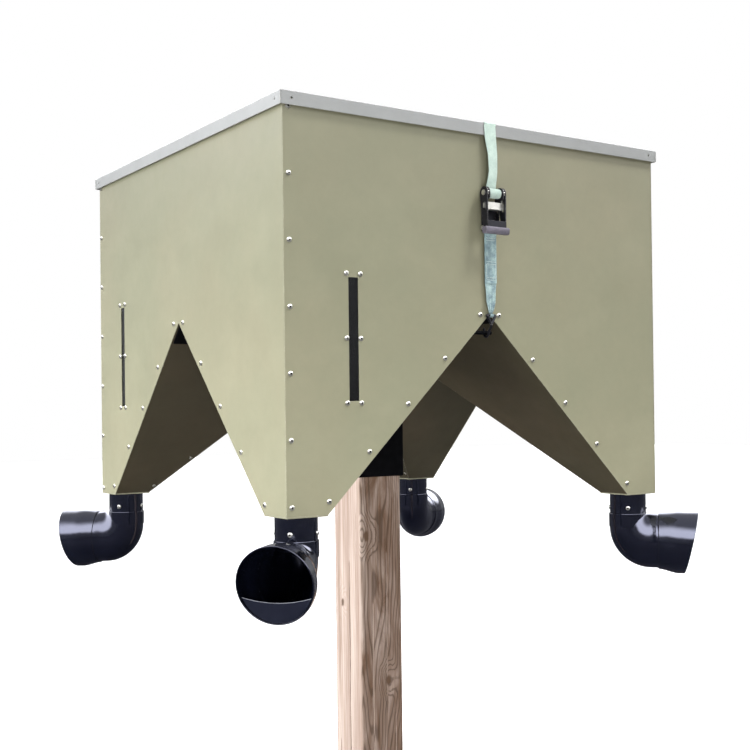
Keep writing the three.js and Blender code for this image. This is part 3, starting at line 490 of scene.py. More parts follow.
def tube(path, radius, sides=14, closed=False, round_ends=True):
    """Round rod along a path, with rounded ends when it is open."""
    n = len(path)
    rings = []
    side = Vector((1, 0, 0))
    for i, point in enumerate(path):
        ahead = path[(i + 1) % n] if closed else path[min(i + 1, n - 1)]
        behind = path[i - 1] if closed else path[max(i - 1, 0)]
        along = (ahead - behind).normalized()
        side = (side - along * side.dot(along)).normalized()
        other = along.cross(side)
        rings.append([point + (side * c + other * s) * radius for c, s in circle(sides)])
    if closed:
        return skin(rings, True)
    if round_ends:
        for end, inner in ((0, 1), (-1, -2)):
            out = (path[end] - path[inner]).normalized()
            caps = []
            for turn in (0.45, 0.9, 1.3):
                caps.append([path[end] + (q - path[end]) * math.cos(turn) + out * radius * math.sin(turn)
                             for q in rings[end]])
            rings = caps[::-1] + rings if end == 0 else rings + caps
    return skin(rings)


def merged(parts):
    points, faces = [], []
    for some_points, some_faces in parts:
        base = len(points)
        points += some_points
        faces += [tuple(base + i for i in face) for face in some_faces]
    return points, faces


def combined(base, others):
    """Applies (operation, shape) pairs to a shape and returns the final mesh."""
    body = placed("base", mesh_from("base", *base))
    tools = []
    for operation, shape in others:
        tools.append(placed("tool", mesh_from("tool", *shape)))
        step = body.modifiers.new("step", "BOOLEAN")
        step.operation = operation
        step.solver = "EXACT"
        step.object = tools[-1]
    mesh = bpy.data.meshes.new_from_object(body.evaluated_get(bpy.context.evaluated_depsgraph_get()))
    for piece in [body, *tools]:
        bpy.data.objects.remove(piece)
    return mesh


def smoothstep(t):
    t = min(max(t, 0), 1)
    return t * t * (3 - 2 * t)


# ---------------------------------------------------------------- screws

SCREW_SIDES = 18


def screw(bm, place, out, radius, height):
    """Domed head with a six-sided socket, its seat sunk a little into the surface."""
    frame_of_head = out.to_track_quat("Z", "Y").to_matrix().to_4x4()
    frame_of_head.translation = place
    frame_of_head = frame_of_head @ Matrix.Rotation(random.uniform(0, math.pi), 4, "Z")
    dome = [(1.0, -0.1), (1.0, 0.22), (0.95, 0.46), (0.82, 0.72), (0.62, 0.92), (0.38, 1.0)]
    socket = [(0.31, 0.98), (0.29, 0.45)]
    rings = []
    for k, (r, h) in enumerate(dome + socket):
        ring = []
        for j in range(SCREW_SIDES):
            turn = 2 * math.pi * j / SCREW_SIDES
            hexagon = math.cos(math.pi / 6) / math.cos((turn % (math.pi / 3)) - math.pi / 6)
            reach = radius * r * (hexagon if k >= len(dome) else 1)
            local = Vector((reach * math.cos(turn), reach * math.sin(turn), height * h)) * MM
            ring.append(bm.verts.new(frame_of_head @ local))
        rings.append(ring)
    for k in range(len(rings) - 1):
        for j in range(SCREW_SIDES):
            i = (j + 1) % SCREW_SIDES
            face = bm.faces.new((rings[k][j], rings[k][i], rings[k + 1][i], rings[k + 1][j]))
            # Painted shade: the socket's rim, walls and floor take the dark material.
            face.material_index = 1 if k >= len(dome) - 1 else 0
    bm.faces.new(rings[-1]).material_index = 1
    bm.faces.new(rings[0][::-1])


def screws(name, places_and_ways, radius=6.8, height=3.6):
    bm = bmesh.new()
    for place, way in places_and_ways:
        screw(bm, place, way, radius, height)
    mesh = bpy.data.meshes.new(name)
    bm.to_mesh(mesh)
    bm.free()
    return finished(name, mesh, "feeder", "zinc", [ZINC, SOCKET_PAINTED_SHADE], weighted=False, sharp=50)


EDGE_INSET = 14.5
EDGE_FIRST, EDGE_STEP, EDGE_SCREWS = 22, 157, 7
GABLE_INSET, GABLE_SCREWS = 20.5, 5
BOTTOM_DROP = {"left": 8}
GABLE_FIRST, GABLE_LAST = 0.034, 0.967  # shares of the way up the sloping edge
CREASE_INSET, CREASE_SCREWS = 14, (-477, -390, -303, -216, -129)
SLOT_CENTRE = -HALF + 190
WINDOW_SCREW_SIDE = 20
WINDOW_SCREW_RISE = (266, 423, 580)


def wall_screw_points(side_name):
    drop = BOTTOM_DROP.get(side_name, 0)
    points = [(-HALF + EDGE_INSET, EDGE_FIRST + EDGE_STEP * i - (0 if i else drop))
              for i in range(EDGE_SCREWS)]
    for i in range(GABLE_SCREWS):
        share = GABLE_FIRST + (GABLE_LAST - GABLE_FIRST) * i / (GABLE_SCREWS - 1)
        run = APEX * share - (0 if i else drop)
        shift = GABLE_INSET / math.sqrt(2)
        points += [(side * (APEX - run + shift), run + shift) for side in (-1, 1)]
    points += [(SLOT_CENTRE + side * WINDOW_SCREW_SIDE, z) for z in WINDOW_SCREW_RISE for side in (-1, 1)]
    return points


# ---------------------------------------------------------------- hopper

def corner_bend(quarters):
    """Picks the bend between a wall's face and its return flange."""
    def test(a, b):
        a, b = turned(a, -quarters), turned(b, -quarters)
        return all(abs(p.y + HALF) < 0.1 and p.x > HALF - 3 for p in (a, b)) and abs(a.z - b.z) > 50
    return test


for quarters, side in enumerate(SIDES):
    refined(f"side_panel_{side}", [OLIVE], "olive_paint", "feeder", 0.45, 2, [(corner_bend(quarters), 1.9)])
    refined(f"sight_window_{side}", [CLEAR], "clear_sheet", "feeder", 0.3)
    refined(f"floor_tent_{side}", [OLIVE_PAINTED_SHADE_UNDERSIDE], "olive_paint_underside", "feeder", 0.35)
    refined(f"support_arm_{side}", [BLACK_STEEL], "black_steel", "feeder", 1.0, 3)
    screws(f"wall_screws_{side}", [
        (spot(*turned((x, -HALF, z), quarters)), turned((0, -1, 0), quarters))
        for x, z in wall_screw_points(side)
    ])
    crease = [(x, x - CREASE_INSET, APEX + x) for x in CREASE_SCREWS]
    way = Vector((1, 0, -1)).normalized()
    screws(f"crease_screws_{side}", [(spot(*turned(p, quarters)), turned(way, quarters)) for p in crease],
           radius=5.2, height=2.6)


# ---------------------------------------------------------------- spouts

SIDES_ROUND = 72
BEND_STEPS = 22
SPOUT_TURN = -0.75 * math.pi
PIPE_OUTER, PIPE_INNER, PIPE_TOP, PIPE_BOTTOM = 52, 49, -3.6, -84
COLLAR_OUTER, COLLAR_TOP, COLLAR_BOTTOM, SOCKET_DEPTH = 54.8, -60, -100, 25
ELBOW_HALF, ELBOW_WALL, HEEL_RADIUS = 53, 3.2, 119.5
BEND_HALF_WIDTH, OUTLET_HALF_WIDTH = 63, 70
OUTLET_RADIUS, OUTLET_RISE, OUTLET_END = 80.25, -139.75, 98
MOUTH_RADIUS, MOUTH_RISE, MOUTH_WALL, MOUTH_START, MOUTH_FLARE_END = 92, -143.5, 3, 84, 145
FLARE_HALF_WIDTH = 88.5
RIM_REACH, RIM_LEAN = 180, 21
DAM_THICKNESS, DAM_SETBACK, DAM_END_DROP, DAM_MIDDLE_DROP, DAM_SIDE_GAP = 3, 6, 29, 41, 2.2
GAP = 0.3


def bend_ring(throat, heel, half_width, inset):
    along = heel - throat
    radius = along.length / 2 - inset
    centre = (throat + heel) / 2
    along.normalize()
    return [centre + along * (radius * c) + Vector((0, (half_width - inset) * s, 0))
            for c, s in circle(SIDES_ROUND)]


def bend(inset, start, reach):
    heel_centre = HEEL_RADIUS - ELBOW_HALF
    throat = Vector((ELBOW_HALF, 0, COLLAR_TOP))
    rings = [
        bend_ring(Vector((ELBOW_HALF, 0, start)), Vector((-ELBOW_HALF, 0, start)), ELBOW_HALF, inset),
        bend_ring(throat, Vector((-ELBOW_HALF, 0, (COLLAR_TOP + COLLAR_BOTTOM) / 2)), ELBOW_HALF, inset),
    ]
    for i in range(BEND_STEPS + 1):
        share = i / BEND_STEPS
        turn = share * QUARTER
        heel = Vector((heel_centre - HEEL_RADIUS * math.cos(turn), 0,
                       COLLAR_BOTTOM - HEEL_RADIUS * math.sin(turn)))
        moved = throat + Vector((share * (heel_centre - ELBOW_HALF), 0,
                                 share * (OUTLET_RISE + OUTLET_RADIUS - COLLAR_TOP)))
        width = ELBOW_HALF + share ** 2 * (BEND_HALF_WIDTH - ELBOW_HALF)
        rings.append(bend_ring(moved, heel, width, inset))
    widened = MOUTH_START - 2
    outlet = [(heel_centre + (widened - heel_centre) * i / 4,
               BEND_HALF_WIDTH + (OUTLET_HALF_WIDTH - BEND_HALF_WIDTH) * (i / 4)) for i in range(1, 5)]
    for place, width in outlet + [(reach, OUTLET_HALF_WIDTH)]:
        rings.append(bend_ring(Vector((place, 0, OUTLET_RISE + OUTLET_RADIUS)),
                               Vector((place, 0, COLLAR_BOTTOM - HEEL_RADIUS)), width, inset))
    return skin(rings)


def plug(radius, low, high):
    return turned_shape([(radius, low), (radius, high)], False)


def elbow_mesh():
    lip = 1.4
    ends = [(COLLAR_OUTER - lip, 0), (COLLAR_OUTER - lip * 0.3, lip * 0.3), (COLLAR_OUTER, lip)]
    collar = turned_shape([(r, COLLAR_BOTTOM + h) for r, h in ends]
                          + [(r, COLLAR_TOP - h) for r, h in reversed(ends)], False)
    return combined(bend(0, COLLAR_TOP - 0.6, OUTLET_END), [
        ("UNION", collar),
        ("DIFFERENCE", bend(ELBOW_WALL, COLLAR_TOP + 1, OUTLET_END + 1)),
        ("DIFFERENCE", plug(ELBOW_HALF - ELBOW_WALL, COLLAR_BOTTOM - 1, COLLAR_TOP + 1)),
        ("DIFFERENCE", plug(PIPE_OUTER + GAP, COLLAR_TOP - SOCKET_DEPTH, COLLAR_TOP + 1)),
    ])


def mouth_ring(reach, centre, rise, half_width, lean):
    return [(reach + lean * c * rise / MOUTH_RADIUS, half_width * s, centre + rise * c)
            for c, s in circle(SIDES_ROUND)]


def mouth_shape():
    socket = OUTLET_RADIUS + GAP
    socket_half = OUTLET_HALF_WIDTH + GAP
    bead = MOUTH_WALL / 2
    lip_end = RIM_REACH - bead

    def flared(reach, thick):
        """Ring of the flare; thick is measured outward from the bore."""
        eased = smoothstep((reach - MOUTH_START) / (MOUTH_FLARE_END - MOUTH_START))
        rise = socket + (MOUTH_RADIUS - MOUTH_WALL - socket) * eased + thick
        half = socket_half + (FLARE_HALF_WIDTH - MOUTH_WALL - socket_half) * eased + thick
        return mouth_ring(reach, OUTLET_RISE + (MOUTH_RISE - OUTLET_RISE) * eased, rise, half, 0)

    def straight(reach, thick):
        share = (reach - MOUTH_FLARE_END) / (lip_end - MOUTH_FLARE_END)
        half = FLARE_HALF_WIDTH + (MOUTH_RADIUS - FLARE_HALF_WIDTH) * share
        return mouth_ring(reach, MOUTH_RISE, MOUTH_RADIUS - MOUTH_WALL + thick, half - MOUTH_WALL + thick,
                          RIM_LEAN * share)

    rings = [flared(MOUTH_START, 0.3), flared(MOUTH_START + 0.3, 1.1), flared(MOUTH_START + 1.6, 2.4)]
    first = MOUTH_START + 4
    rings += [flared(first + (MOUTH_FLARE_END - first) * i / 12, MOUTH_WALL) for i in range(13)]
    rings += [straight(MOUTH_FLARE_END + (lip_end - MOUTH_FLARE_END) * i / 6, MOUTH_WALL)
              for i in range(1, 7)]
    for i in range(1, 8):
        turn = math.pi * i / 8
        thick = bead + bead * math.cos(turn)
        radius = MOUTH_RADIUS - MOUTH_WALL + thick
        rings.append(mouth_ring(lip_end + bead * math.sin(turn), MOUTH_RISE, radius, radius, RIM_LEAN))
    rings += [straight(MOUTH_FLARE_END + (lip_end - MOUTH_FLARE_END) * (6 - i) / 6, 0) for i in range(6)]
    bore_end = OUTLET_END + GAP
    for i in range(9):
        eased = smoothstep(i / 8)
        rings.append(mouth_ring(
            MOUTH_FLARE_END + (bore_end - MOUTH_FLARE_END) * i / 8,
            MOUTH_RISE + (OUTLET_RISE - MOUTH_RISE) * eased,
            MOUTH_RADIUS - MOUTH_WALL + (OUTLET_RADIUS - MOUTH_RADIUS) * eased,
            FLARE_HALF_WIDTH - MOUTH_WALL + (OUTLET_HALF_WIDTH - FLARE_HALF_WIDTH) * eased, 0))
    rings.append(mouth_ring(bore_end, OUTLET_RISE, socket, socket_half, 0))
    return skin(rings, True)


def dam_mesh():
    radius = MOUTH_RADIUS - MOUTH_WALL - 2 * GAP
    squeeze = (radius - DAM_SIDE_GAP) / radius
    end_half = math.sqrt(radius ** 2 - DAM_END_DROP ** 2)
    start = math.atan2(-DAM_END_DROP, end_half)
    outline = []
    for i in range(49):
        turn = start + i / 48 * (-math.pi - 2 * start)
        outline.append((squeeze * radius * math.cos(turn), radius * math.sin(turn)))
    for i in range(1, 24):
        share = -1 + i / 12
        drop = DAM_MIDDLE_DROP - (DAM_MIDDLE_DROP - DAM_END_DROP) * share ** 2
        outline.append((squeeze * share * end_half, -drop))
    bm = bmesh.new()
    back = bm.faces.new([bm.verts.new(Vector((0, u, v)) * MM) for u, v in outline])
    front = bmesh.ops.extrude_face_region(bm, geom=[back])
    for vert in [v for v in front["geom"] if isinstance(v, bmesh.types.BMVert)]:
        vert.co.x += DAM_THICKNESS * MM
    bmesh.ops.recalc_face_normals(bm, faces=bm.faces)
    bevelled(bm, sharp_edges(bm, 60), 0.6, 2)
    bm.normal_update()
    for face in bm.faces:
        # Painted highlight: the upward-facing edge faces get the pale material.
        painted_highlight_face = face.normal.z > 0.3 and face.calc_center_median().z > -1.15 * DAM_MIDDLE_DROP * MM
        face.material_index = 1 if painted_highlight_face else 0
    for vert in bm.verts:
        lean = RIM_LEAN * vert.co.z / MOUTH_RADIUS
        vert.co.x += (RIM_REACH - DAM_SETBACK - DAM_THICKNESS) * MM + lean
        vert.co.z += MOUTH_RISE * MM
    mesh = bpy.data.meshes.new("feed_dam")
    bm.to_mesh(mesh)
    bm.free()
    return mesh


spout_meshes = {
    "spout_pipe": mesh_from("spout_pipe", *turned_shape([
        (PIPE_INNER, PIPE_BOTTOM), (PIPE_OUTER, PIPE_BOTTOM), (PIPE_OUTER, PIPE_TOP - 0.4),
        (PIPE_OUTER - 0.4, PIPE_TOP), (PIPE_INNER, PIPE_TOP)])),
    "spout_elbow": elbow_mesh(),
    "spout_mouth": mesh_from("spout_mouth", *mouth_shape()),
    "feed_dam": dam_mesh(),
}
PIPE_SCREW_RISE = -43
for quarters, corner in enumerate(CORNERS):
    spout_place = (Matrix.Translation((0, 0, FOOT * MM)) @ Matrix.Rotation(quarters * QUARTER, 4, "Z")
                   @ Matrix.Translation((-LEG_CENTRE * MM, -LEG_CENTRE * MM, 0))
                   @ Matrix.Rotation(SPOUT_TURN, 4, "Z"))
    refined(f"leg_outlet_{corner}", [OLIVE], "olive_paint", "feeder", 0.4)
    for part, source in spout_meshes.items():
        mesh = source.copy()
        mesh.transform(spout_place)
        looks, slot = [BLACK_PIPE], "black_pipe"
        if part == "feed_dam":
            looks, slot = [BLACK_SHEET, DAM_PAINTED_HIGHLIGHT], "black_sheet"
        finished(f"{part}_{corner}_look", mesh, "feeder", slot, looks, [f"{part}_{corner}"], 36)
    around = []
    for turn in range(4):
        way = turned((1, 0, 0), turn)
        place = way * (PIPE_OUTER * MM) + Vector((0, 0, PIPE_SCREW_RISE * MM))
        around.append((spout_place @ place, spout_place.to_3x3() @ way))
    screws(f"pipe_screws_{corner}", around, radius=6.4, height=3.4)


# ---------------------------------------------------------------- post

POST_HALF = 75
POST_TOP = 523
POST_ROUND = 10
POST_CHECKS = (  # face, place across it, lowest, highest, depth
    (0, -31, -1060, -240, 5.0), (0, 18, -700, -60, 3.2), (0, 47, -1060, -560, 4.0), (0, -8, -330, 40, 2.4),
    (1, -40, -900, -330, 4.2), (1, 6, -1060, -500, 5.2), (1, 33, -420, 20, 2.8),
    (2, -22, -1060, -300, 4.6), (2, 38, -620, -80, 3.2),
    (3, 12, -980, -120, 5.0), (3, -44, -1060, -640, 3.6), (3, 52, -380, 40, 2.2),
)


def post_columns():
    """Points round the post: (x, y, face, place across it, outward direction)."""
    columns = []
    flat = POST_HALF - POST_ROUND
    for face in range(4):
        across = [-flat + i * 2 * flat / 16 for i in range(17)]
        for check_face, middle, *_ in POST_CHECKS:
            if check_face == face:
                across = [u for u in across if abs(u - middle) > 3.2]
                across += [middle - 2.2, middle - 0.5, middle + 0.5, middle + 2.2]
        for u in sorted(across):
            columns.append((turned((u, -POST_HALF, 0), face), face, u, turned((0, -1, 0), face)))
        for step in (1, 2, 3, 4):
            turn = math.radians(step * 18)
            centre = Vector((flat, -flat, 0))
            way = Vector((math.sin(turn), -math.cos(turn), 0))
            columns.append((turned(centre + way * POST_ROUND, face), face, None, turned(way, face)))
    return columns


def post_mesh():
    columns = post_columns()
    rings = []
    rows = 150
    for row in range(rows + 1):
        z = -FOOT + (POST_TOP + FOOT) * row / rows
        ring = []
        for base, face, across, way in columns:
            spotted = Vector((base.x * 0.02, base.y * 0.02, z * 0.0016))
            ripple = noise.noise(Vector((base.x, base.y, z * 0.02)))
            inward = 0.7 + 0.9 * noise.noise(spotted) + 0.35 * ripple
            for check_face, middle, low, high, depth in POST_CHECKS:
                if across is None or check_face != face or abs(across - middle) >= 0.6:
                    continue
                if low < z < high:
                    wobble = 0.75 + 0.5 * noise.noise(Vector((middle, 0, z * 0.02)))
                    ends = smoothstep((z - low) / 120 + 0.2), smoothstep((high - z) / 160)
                    inward += depth * wobble * ends[0] * ends[1]
            shift = 1.6 * noise.noise(Vector((face * 7.0, 3.0, z * 0.006)))
            aside = Vector((-way.y, way.x, 0)) * (shift if across is not None and abs(across) < 60 else 0)
            ring.append(base - way * max(inward, 0.05) + aside + Vector((0, 0, z + FOOT)))
        rings.append(ring)
    return mesh_from("post", *skin(rings))


finished("post_look", post_mesh(), "feeder", "pine", [PINE], ["post"], 50, False)


SLEEVE_HALF = 81.5


def sleeve_corner(a, b):
    return all(abs(abs(p.x) - SLEEVE_HALF) < 0.2 and abs(abs(p.y) - SLEEVE_HALF) < 0.2 for p in (a, b))


refined("post_sleeve", [BLACK_STEEL], "black_steel", "feeder", 0.8, 2, [(sleeve_corner, 4.5)])
refined("lag_screw_right", [ZINC], "zinc", "feeder", 0.6)
refined("lag_screw_back", [ZINC], "zinc", "feeder", 0.6)


# ---------------------------------------------------------------- lid

LID_HALF, LID_BOTTOM, LID_EDGE, LID_PEAK = 620, 965, 998, 1008


def lid_fold(a, b):
    return all(abs(p.z - FOOT - LID_EDGE) < 0.2 and max(abs(p.x), abs(p.y)) > LID_HALF - 0.5 for p in (a, b))


def lid_corner(a, b):
    return all(abs(abs(p.x) - LID_HALF) < 0.3 and abs(abs(p.y) - LID_HALF) < 0.3 for p in (a, b))


refined("lid", [GREY_LID], "grey_lid", "lid", 0.4, 2, [(lid_fold, 1.6), (lid_corner, 0.9)])


def weld_bead():
    """Rippled bead up one corner of the lid's skirt."""
    rings = []
    steps = 60
    for i in range(steps + 1):
        rise = LID_BOTTOM + 1.5 + (LID_EDGE - LID_BOTTOM - 2.6) * i / steps
        ripple = abs(math.sin(math.pi * i / steps * 9))
        radius = 1.1 + 1.1 * ripple + 0.3 * math.sin(i * 1.7)
        if i in (0, steps):
            radius = 0.3
        wobble = 0.4 * math.sin(i * 0.9)
        centre = Vector((-LID_HALF + 0.9 + wobble, -LID_HALF + 0.9 - wobble, rise))
        rings.append([centre + Vector((c * radius, s * radius, 0)) for c, s in circle(12)])
    return skin(rings)


for quarters, corner in enumerate(CORNERS):
    points, faces = weld_bead()
    finished(f"lid_weld_{corner}", mesh_from("weld", raised(points, quarters), faces), "lid", "grey_lid",
             [GREY_LID], sharp=60, weighted=False)


# ---------------------------------------------------------------- strap

WEB_HALF = 19
WEB_THICKNESS = 1.8
MANDREL_Y, MANDREL_Z, MANDREL_RADIUS, ROLL_RADIUS = -631, 812, 7, 13.5
STRAP_Y, BOLT_Y, BOLT_Z = -617, -619, 722
SEWN_END, EYE_TOP, EYE_BOTTOM, EYE_HALF, HOOK_ROD = 578, 494, 470, 15, 3.5
ACROSS = 20
STRAP_LIFT = 1.4
STRAP_REACH = LID_HALF + STRAP_LIFT
FOLD_RADIUS, FOLD_INSET, FOLD_DROP = 3.6, 2.2, 2.4
BACK_RUN_Y = 616.8
SEWN_FRONT, SEWN_BACK, SINGLE_Y = -618.1, -616.1, -616.7
EYE_LOOP_RADIUS, EYE_LOOP_HALF = 4.9, 5.8


def ribbon(name, stations, sway=0.0):
    """Webbing along (y, z, half width, pleat height) stations, drawn in the plane x = 0.

    A station may add a turn about the webbing's run and a shift to one side."""
    n = len(stations)
    length = 0
    rings, lengths = [], []
    for i, (y, z, half, pleat, *more) in enumerate(stations):
        turn, aside = more or (0, 0)
        y0, z0 = stations[max(i - 1, 0)][:2]
        y1, z1 = stations[min(i + 1, n - 1)][:2]
        along = Vector((0, y1 - y0, z1 - z0)).normalized()
        out = Vector((0, -along.z, along.y))
        if i:
            length += math.hypot(y - stations[i - 1][0], z - stations[i - 1][1])
        lengths.append(length)
        middle = Vector((aside + sway * math.sin(length * 0.011), y, z))
        width_way = Vector((math.cos(turn), 0, 0)) + out * math.sin(turn)
        tilt = 0.35 * sway * math.sin(length * 0.017)
        ring = []
        for sign in (1, -1):
            for j in range(ACROSS + 1):
                u = (-1 + 2 * j / ACROSS) * sign
                edge = max(0, (abs(u) - 0.94) / 0.06)
                thick = WEB_THICKNESS / 2 * (1 - 0.7 * edge ** 2)
                fold = pleat * (math.cos(u * 9.4) + 0.35 * math.sin(u * 17 + length * 0.09))
                ring.append(middle + width_way * (u * half) + out * (thick * sign + fold + tilt * u))
        rings.append(ring)
    points, faces = skin(rings)
    mesh = bpy.data.meshes.new(name)
    mesh.from_pydata([p * MM for p in raised(points)], [], faces)
    count = len(rings[0])
    layer = mesh.uv_layers.new(name="webbing")
    for loop in mesh.loops:
        ring, place = divmod(loop.vertex_index, count)
        sign = 1 if place <= ACROSS else -1
        u = (-1 + 2 * (place % (ACROSS + 1)) / ACROSS) * sign
        layer.data[loop.index].uv = (u * WEB_HALF * MM, lengths[ring] * MM)
    facing_out(mesh)
    return mesh


def evenly(points, step=6.0):
    """Resamples (y, z, half, pleat) corner points at even steps."""
    result = []
    for a, b in zip(points, points[1:]):
        count = max(1, round(math.hypot(b[0] - a[0], b[1] - a[1]) / step))
        for i in range(count):
            t = i / count
            result.append(tuple(p + (q - p) * t for p, q in zip(a, b)))
    result.append(points[-1])
    return result


def arc_points(y, z, radius, start, end, half, steps):
    return [(y + radius * math.cos(start + (end - start) * i / steps),
             z + radius * math.sin(start + (end - start) * i / steps), half, 0.0) for i in range(steps + 1)]


def eye_loop(y):
    """Webbing's loop round a hook's eye."""
    return arc_points(y, EYE_TOP, EYE_LOOP_RADIUS, 0.25 * math.pi, -1.22 * math.pi, EYE_LOOP_HALF, 14)


def top_height(y):
    return LID_EDGE + (LID_PEAK - LID_EDGE) * (1 - abs(y) / LID_HALF) + STRAP_LIFT


front_run = [(-616.5, MANDREL_Z - 4, WEB_HALF, 0, 0, 0), (-618, MANDREL_Z + 20, WEB_HALF, 0, -0.20, 4),
             (-619.5, 872, WEB_HALF, 0, -0.30, 10), (-620.5, 915, WEB_HALF, 0, -0.22, 8),
             (-STRAP_REACH, LID_BOTTOM - 10, WEB_HALF, 0, -0.04, 1),
             (-STRAP_REACH, LID_EDGE - 2.5, WEB_HALF, 0, 0, -2)]
fold_front = arc_points(-LID_HALF + FOLD_INSET, LID_EDGE - FOLD_DROP, FOLD_RADIUS, math.pi, QUARTER,
                        WEB_HALF, 6)
fold_back = arc_points(LID_HALF - FOLD_INSET, LID_EDGE - FOLD_DROP, FOLD_RADIUS, QUARTER, 0, WEB_HALF, 6)
top_run = [(y, top_height(y), WEB_HALF, 0) for y in (-LID_HALF + 12, -300, 0, 300, LID_HALF - 12)]
back_run = [(STRAP_REACH, LID_EDGE - 2.5, WEB_HALF, 0), (STRAP_REACH, LID_BOTTOM - 4, WEB_HALF, 0),
            (BACK_RUN_Y, SEWN_END + 20, WEB_HALF, 0), (BACK_RUN_Y, 560, 17, 0.0),
            (BACK_RUN_Y, 527, 14.5, 0.5), (BACK_RUN_Y, EYE_TOP + 14, 9.0, 0.45),
            (616.2, EYE_TOP + 6, 6.2, 0.3)]
long_run = evenly(front_run + fold_front + top_run + fold_back + back_run) + eye_loop(-STRAP_Y)
strap = finished("strap_long", ribbon("strap_long", long_run, 0.9), None, "webbing", [WEBBING],
                 ["strap_upper", "strap_over_lid", "strap_back"], 60, False)
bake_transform(strap)

bolt_loop = arc_points(BOLT_Y, BOLT_Z, 5.25, 1.22 * math.pi, -0.22 * math.pi, WEB_HALF, 18)
sewn_run = (
    evenly([(SEWN_FRONT, SEWN_END, WEB_HALF, 0), (SEWN_FRONT, BOLT_Z - 20, WEB_HALF, 0),
            (-622.2, BOLT_Z - 6, WEB_HALF, 0)])
    + bolt_loop
    + evenly([(-615.9, BOLT_Z - 10, WEB_HALF, 0), (SEWN_BACK, BOLT_Z - 20, WEB_HALF, 0),
              (SEWN_BACK, SEWN_END, WEB_HALF, 0), (-616.6, 560, 16.5, 0.25), (SINGLE_Y, 527, 14.5, 0.55),
              (SINGLE_Y, EYE_TOP + 14, 9.4, 0.5), (-615.2, EYE_TOP + 6, 6.2, 0.3)], 4)
    + eye_loop(STRAP_Y)
)
finished("strap_sewn", ribbon("strap_sewn", sewn_run), "feeder", "webbing", [WEBBING_SEWN],
         ["strap_lower"], 60, False)


THREAD_Y, THREAD_RADIUS, THREAD_BULGE = -619.15, 0.42, 0.35
STITCH_HALF = 15
STITCH_ROWS = (586, 592, 628, 634, 690, 696)


def stitches():
    """Rows of thread across and along the doubled webbing."""
    parts = []
    rows = [[(x, z) for x in range(-STITCH_HALF, STITCH_HALF + 1, 3)] for z in STITCH_ROWS]
    rows += [[(x, z) for z in range(588, 632, 4)] for x in (-STITCH_HALF, STITCH_HALF)]
    for row in rows:
        for (x0, z0), (x1, z1) in zip(row, row[1:]):
            a, b = Vector((x0, THREAD_Y, z0)), Vector((x1, THREAD_Y, z1))
            a, b = a.lerp(b, 0.14), a.lerp(b, 0.86)
            middle = (a + b) / 2 - Vector((0, THREAD_BULGE, 0))
            parts.append(tube([a, middle, b], THREAD_RADIUS, 6, round_ends=False))
    points, faces = merged(parts)
    return raised(points), faces


finished("strap_stitches", mesh_from("stitches", *stitches()), "feeder", "webbing", [THREAD], sharp=60,
         weighted=False)

ROLL_TURNS = 2.8


def roll_stations():
    end = 2 * math.pi * ROLL_TURNS
    inner, outer = MANDREL_RADIUS + 1.3, ROLL_RADIUS - 0.9
    return [(MANDREL_Y + (inner + (outer - inner) * a / end) * math.cos(a - end),
             MANDREL_Z + (inner + (outer - inner) * a / end) * math.sin(a - end), WEB_HALF - 0.1, 0)
            for a in (end * i / 110 for i in range(111))]


finished("webbing_roll_look", ribbon("webbing_roll_look", roll_stations()), "mandrel", "webbing", [WEBBING],
         ["webbing_roll"], 60, False)


# ---------------------------------------------------------------- ratchet and hooks

HOOK_BEND = (
    (STRAP_Y, EYE_BOTTOM - 1), (STRAP_Y + 1, 465), (-607, 452), (-602.5, 443), (-596, 438.8), (-589, 442),
    (-586.4, 449), (-586, 460),
)


def hook_shape():
    shank = tube(smooth_path([(0, y, z) for y, z in HOOK_BEND], 6), HOOK_ROD, 16)
    soft = 4.0
    corners = [Vector(c) for c in ((-EYE_HALF, 0, EYE_TOP), (EYE_HALF, 0, EYE_TOP), (0, 0, EYE_BOTTOM))]
    loop = []
    for i, corner in enumerate(corners):
        before, after = corners[i - 1], corners[(i + 1) % 3]
        p0 = corner + (before - corner).normalized() * soft
        p2 = corner + (after - corner).normalized() * soft
        for t in (0, 0.25, 0.5, 0.75, 1):
            loop.append((1 - t) ** 2 * p0 + 2 * t * (1 - t) * corner + t ** 2 * p2)
    ring = []
    for i, point in enumerate(loop):
        ahead = loop[(i + 1) % len(loop)]
        parts = 4 if (ahead - point).length > 8 else 1
        ring += [point.lerp(ahead, k / parts) for k in range(parts)]
    eye = tube([p + Vector((0, STRAP_Y, 0)) for p in ring], HOOK_ROD, 14, closed=True)
    return merged([shank, eye])


for quarters, end in ((0, "front"), (2, "back")):
    points, faces = hook_shape()
    finished(f"hook_{end}_look", mesh_from("hook", raised(points, quarters), faces), "feeder", "black_steel",
             [BLACK_RATCHET], [f"hook_{end}"], 60, False)


GRIP_TOP, GRIP_BACK = 722.6, -631.5


def grip_part(centre):
    return 1 if centre.z - FOOT < GRIP_TOP and centre.y < GRIP_BACK else 0


refined("ratchet_frame", [BLACK_RATCHET], "black_ratchet", "feeder", 0.5)
refined("ratchet_handle", [BLACK_RATCHET, GRIP], "black_ratchet", "handle", 0.6, paint=grip_part)
refined("ratchet_mandrel", [ZINC], "zinc", "mandrel", 0.35)
refined("drive_pawl", [ZINC], "zinc", "drive_pawl", 0.4)
refined("base_pawl", [ZINC], "zinc", "base_pawl", 0.4)
refined("anchor_bolt", [ZINC], "zinc", "feeder", 0.4)


# ---------------------------------------------------------------- stage, light and camera

bpy.ops.mesh.primitive_grid_add(x_subdivisions=8, y_subdivisions=8, size=60, location=(0, 0, -0.001))
floor = bpy.context.object
floor.name = "floor"
floor.data.materials.append(pale_floor("pale_floor"))


